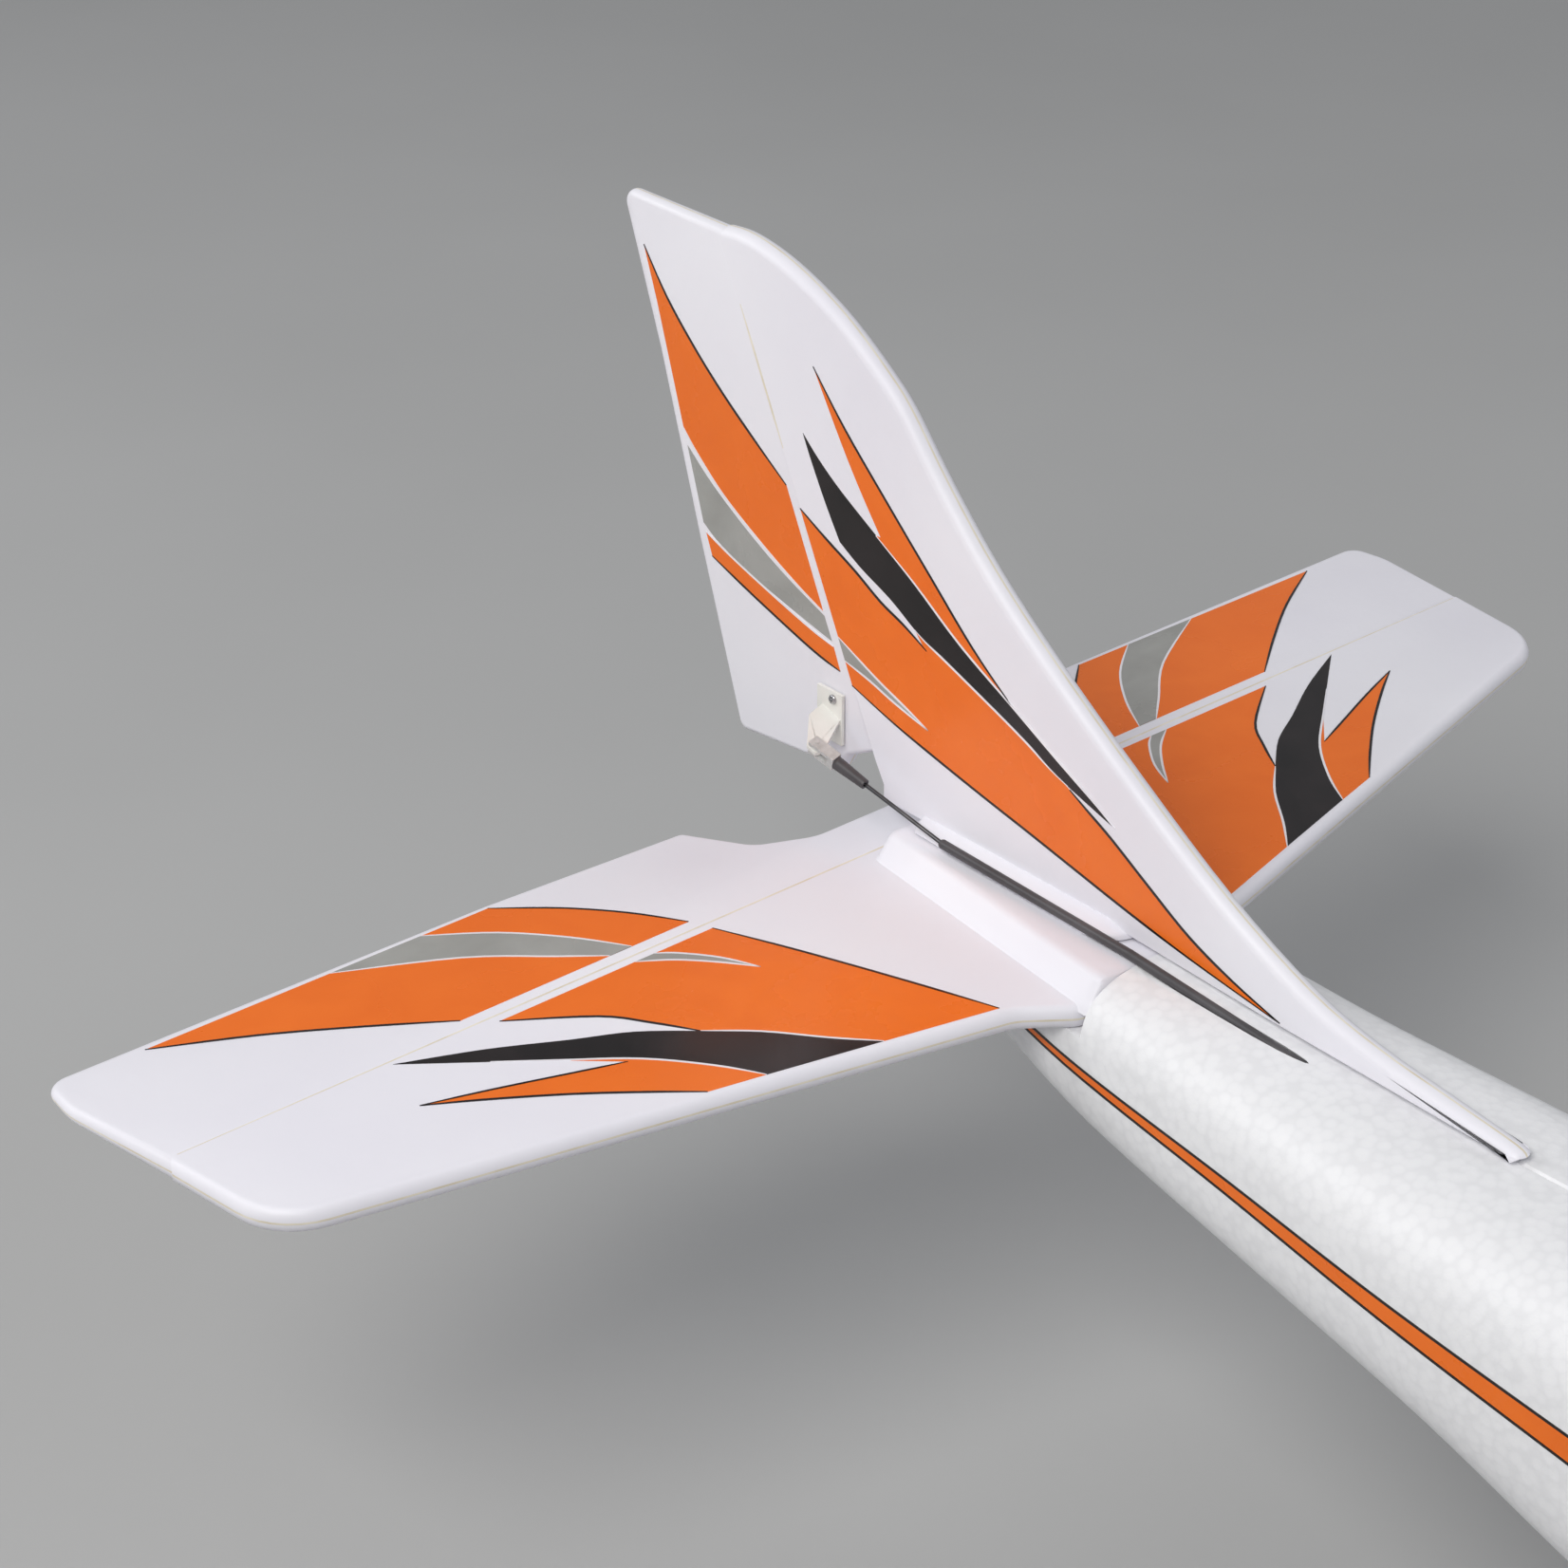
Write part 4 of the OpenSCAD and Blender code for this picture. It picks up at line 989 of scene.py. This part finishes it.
def wing_foam(mirrored):
    tag = "starboard" if mirrored else "port"
    rings = [[(0.06 + z * math.tan(DIHEDRAL), y, z) for x, y, z
              in rib(0, WING_LE, ROOT_CHORD, ROOT_CHORD * 0.12)]]
    for k in range(1, 17):
        x = TAPER * k / 16
        rings.append(rib(x, leading(x), chord(x), chord(x) * 0.12))
    tip = WING_LE + 14
    rings += [rib(PANEL - 9, tip + 3.5, TIP_CHORD - 6.5, TIP_CHORD * 0.11),
              rib(PANEL - 5, tip + 8, TIP_CHORD - 14, TIP_CHORD * 0.1),
              rib(PANEL - 2, tip + 16, TIP_CHORD - 29, TIP_CHORD * 0.082),
              rib(PANEL, tip + 26, TIP_CHORD - 48, TIP_CHORD * 0.06)]
    piece = make(f"wing_{tag}_foam", *loft(rings), [SKIN], None)
    cut(piece, block(AILERON_IN - 1, AILERON_OUT + 1, AILERON_Y - 6.5, -20, -5, 35))
    cut(piece, block(SERVO_X - 26.8, SERVO_X + 4.2, SERVO_Y - 11.2, SERVO_Y + 22.2, -2, 12.4))
    cut(piece, tube([(26.5, SCREW_Y, -10), (24.3, SCREW_Y, 35)], 5.4))
    to_wing(piece, mirrored)
    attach(piece, "airframe")
    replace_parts(piece, "wing_right" if mirrored else "wing_left")


def hinge_height(x):
    return 6.1 - (x - AILERON_IN) * 1.6 / 370


def aileron_ring(x):
    middle = hinge_height(x)
    radius = middle - 0.2
    end = leading(x) + chord(x)
    ring = [(x, end, 0.05)]
    for k in range(13):
        angle = math.radians(270 - 15 * k)
        ring.append((x, AILERON_Y + radius * math.cos(angle), middle + radius * math.sin(angle)))
    top = middle + radius
    for k in range(1, 9):
        share = k / 8
        height = top + (chord(x) * 0.0072 - top) * share + 0.9 * share * (1 - share)
        ring.append((x, AILERON_Y + (end - AILERON_Y) * share, height))
    return ring


def aileron_foam(mirrored):
    tag = "starboard" if mirrored else "port"
    body = "right_aileron" if mirrored else "left_aileron"
    stations = [AILERON_IN + 0.3] + [AILERON_IN + 37 * k for k in range(1, 10)]
    stations.append(AILERON_OUT - 0.5)
    piece = make(f"aileron_{tag}_foam", *loft([aileron_ring(x) for x in stations]), [SKIN], None)
    to_wing(piece, mirrored)
    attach(piece, body)
    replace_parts(piece, "aileron_right" if mirrored else "aileron_left")


TOP_CURVE = FOIL[25:]


def foil_top(share):
    """Height of the upper surface as a share of the thickness."""
    for (f0, h0), (f1, h1) in zip(TOP_CURVE, TOP_CURVE[1:]):
        if f0 <= share <= f1:
            return h0 + (h1 - h0) * (share - f0) / (f1 - f0)
    return 0.06


def wing_band(name, mirrored, start, width, sweep, material, lift, aft=0.72):
    """Band across the upper face, from the front edge towards the rear, widening as it goes."""
    rings = []
    for share in [f for f, h in TOP_CURVE if 0.001 < f <= aft]:
        low = start + sweep * share
        points = [low + width(share) * j / 4 for j in range(5)]
        ring = []
        for level in (lift, -0.15):
            row = [(x, leading(x) + share * chord(x), foil_top(share) * chord(x) * 0.12 + level)
                   for x in points]
            ring += row if level > 0 else row[::-1]
        rings.append(ring)
    tag = "starboard" if mirrored else "port"
    piece = make(f"wing_{tag}_{name}", *loft(rings), [material], None)
    to_wing(piece, mirrored)
    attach(piece, "airframe")


def aileron_band(name, mirrored, start, width, sweep, material, lift):
    rings = []
    for k in range(9):
        share = 0.05 + 0.9 * k / 8
        along = 0.8 + 0.2 * share
        low = start + sweep * along
        points = [low + width(along) * j / 4 for j in range(5)]
        ring = []
        for level in (lift, -0.15):
            row = []
            for x in points:
                top = 2 * hinge_height(x) - 0.2
                end = leading(x) + chord(x)
                height = top + (chord(x) * 0.0072 - top) * share + 0.9 * share * (1 - share)
                row.append((x, AILERON_Y + (end - AILERON_Y) * share, height + level))
            ring += row if level > 0 else row[::-1]
        rings.append(ring)
    tag = "starboard" if mirrored else "port"
    piece = make(f"aileron_{tag}_{name}", *loft(rings), [material], None)
    to_wing(piece, mirrored)
    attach(piece, "right_aileron" if mirrored else "left_aileron")


BANDS = [("band_orange", 430, lambda f: 40 + 70 * f, 60, ORANGE, 0.12),
         ("band_black", 545, lambda f: 10 + 16 * f, 60, BLACK, 0.15),
         ("band_grey", 405, lambda f: 8 + 9 * f, 45, GREY, 0.15),
         ("band_second", 610, lambda f: 18 + 8 * f, 30, ORANGE, 0.12)]
for flag in (False, True):
    wing_foam(flag)
    aileron_foam(flag)
    for label, start, width, sweep, material, lift in BANDS:
        wing_band(label, flag, start, width, sweep, material, lift)
        aileron_band(label, flag, start, width, sweep, material, lift)


# ---------- hatch ----------
def hatch_foam():
    low, high = HATCH_LOW, HATCH_HIGH
    rings = [full_ring(y) for y in y_steps(low.y - 8, high.y + 8, 6)]
    piece = make("hatch_foam", *loft(rings), [BEADS], None)
    cut(piece, block(low.x, high.x, low.y, high.y, low.z, high.z + 30), "INTERSECT")
    for k in range(5):
        y = high.y - 12 - 5 * k
        cut(piece, block(-12, 12, y, y + 1.6, high.z - 6, high.z + 20))
    reshade(piece, 36)
    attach(piece, "battery_hatch")
    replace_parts(piece, "hatch")


hatch_foam()


# ---------- screw of the rudder horn ----------
def screw_head(name, centre, radius, body):
    """Domed head with a crossed slot, facing starboard."""
    x, y, z = centre
    rings = []
    for out, size in ((0, 1.0), (0.5, 1.0), (0.85, 0.86), (1.05, 0.55), (1.12, 0.2)):
        rings.append([(x - out, y + radius * size * math.cos(math.radians(15 * k)),
                       z + radius * size * math.sin(math.radians(15 * k))) for k in range(24)])
    piece = make(name, *loft(rings), [STEEL], None)
    cut(piece, block(x - 2, x - 0.6, y - 1.2, y + 1.2, z - 0.2, z + 0.2))
    cut(piece, block(x - 2, x - 0.6, y - 0.2, y + 0.2, z - 1.2, z + 1.2))
    reshade(piece, 36)
    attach(piece, body)


screw_head("rudder_horn_screw_low", (-5.25, HINGE_Y + 31.3, FIN_Z + 37.6), 1.7, "rudder")
screw_head("rudder_horn_screw_high", (-5.25, HINGE_Y + 36.4, FIN_Z + 26.4), 1.7, "rudder")

# ---------- looks of the pieces kept from the frame ----------
NODE_LOOKS = {
    PLYWOOD: ("firewall", "servo_tray", "gear_block"),
    ALUMINIUM: ("motor_stator", "aileron_pushrod_left", "aileron_pushrod_right"),
    ANODISED: ("motor_can",),
    STEEL: ("prop_shaft", "tail_screws", "main_gear_wire", "nose_gear_leg"),
    BRASS: ("main_wheel_collars", "nose_wheel_collars"),
    DARK_WIRE: ("rudder_pushrod", "elevator_pushrod", "steering_pushrod"),
    DARK_TUBE: ("rudder_sleeve", "elevator_sleeve", "rudder_clevis_keeper"),
    CLEAR: ("rudder_clevis", "elevator_clevis"),
    WHITE_NYLON: ("rudder_horn", "elevator_horn", "aileron_horn_left", "aileron_horn_right",
                  "rudder_servo_arm", "elevator_servo_arm", "aileron_arm_left",
                  "aileron_arm_right", "steering_arm", "wing_screws"),
    BLACK_NYLON: ("propeller", "nose_gear_bracket"),
    CARBON: ("wing_joiner",),
    WEBBING: ("battery_strap",),
    SERVO_BLUE: ("rudder_servo", "elevator_servo", "aileron_servo_left",
                 "aileron_servo_right"),
    SHRINK_BLUE: ("speed_controller",),
    RECEIVER_CASE: ("receiver",),
    BATTERY_WRAP: ("battery",),
    WHEEL_WHITE: ("nose_hub", "left_hub", "right_hub"),
    TYRE: ("nose_tyre", "left_tyre", "right_tyre"),
    SPINNER_RED: ("spinner",),
}
for material, names in NODE_LOOKS.items():
    for name in names:
        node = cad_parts[name]
        node.data.materials.clear()
        node.data.materials.append(material)
        weld = node.modifiers.new("weld", "WELD")
        weld.merge_threshold = 0.000001
        rounding = node.modifiers.new("rounding", "BEVEL")
        rounding.width = 0.00022
        rounding.segments = 2
        rounding.limit_method = "ANGLE"
        rounding.angle_limit = math.radians(38)
        rounding.harden_normals = True

# ---------- floor, light and camera ----------
def paper_floor():
    look = Look("studio_floor", 0.9)
    look.colour(look.noise(2.2, 4), [(0.3, (0.44, 0.44, 0.435)), (0.7, (0.465, 0.465, 0.46))])
    look.bump(look.noise(300, 2), 0.05, 0.1)
    return look.mat


FLOOR_HALF = 9000
floor = make("studio_floor", *block(-FLOOR_HALF, FLOOR_HALF, -FLOOR_HALF, FLOOR_HALF, -20, 0),
             [paper_floor()], None)


def area_light(name, place, target, size, power, colour=(1, 1, 1)):
    data = bpy.data.lights.new(name, "AREA")
    data.shape = "DISK"
    data.size = size
    data.energy = power
    data.color = colour
    lamp = bpy.data.objects.new(name, data)
    bpy.context.scene.collection.objects.link(lamp)
    lamp.location = place
    aim = Vector(target) - Vector(place)
    lamp.rotation_mode = "QUATERNION"
    lamp.rotation_quaternion = aim.to_track_quat("-Z", "Y")


area_light("key_light", (-1.9, -0.4, 2.3), (0, 0.2, 0.2), 1.5, 50, (1.0, 0.985, 0.96))
area_light("fill_light", (1.9, -1.7, 1.6), (0, 0.1, 0.2), 1.8, 17, (0.95, 0.97, 1.0))
area_light("back_light", (-1.6, 2.3, 1.9), (0, 0.2, 0.2), 1.6, 24, (0.97, 0.98, 1.0))

bpy.context.scene.view_settings.view_transform = "Standard"
world = bpy.data.worlds.new("studio_world")
bpy.context.scene.world = world
world.use_nodes = True
world.node_tree.nodes["Background"].inputs["Color"].default_value = (0.80, 0.82, 0.86, 1)
world.node_tree.nodes["Background"].inputs["Strength"].default_value = 0.36

CAMERA_AZIMUTH = math.radians(-40.0)
CAMERA_HEIGHT = math.radians(28.95)
CAMERA_ROLL = math.radians(-0.26)
camera_data = bpy.data.cameras.new("photo_camera")
camera_data.sensor_width = 36
camera_data.lens = 72.44
camera = bpy.data.objects.new("photo_camera", camera_data)
bpy.context.scene.collection.objects.link(camera)
back = Vector((math.sin(CAMERA_AZIMUTH) * math.cos(CAMERA_HEIGHT),
               -math.cos(CAMERA_AZIMUTH) * math.cos(CAMERA_HEIGHT), math.sin(CAMERA_HEIGHT)))
camera.location = Vector((-609.4, HINGE_Y - 663.3, FIN_Z + 515.0)) * MM
camera.rotation_mode = "QUATERNION"
camera.rotation_quaternion = ((-back).to_track_quat("-Z", "Y").to_matrix()
                              @ Matrix.Rotation(CAMERA_ROLL, 3, "Z")).to_quaternion()
camera_data.clip_start = 0.01
camera_data.clip_end = 60
bpy.context.scene.camera = camera
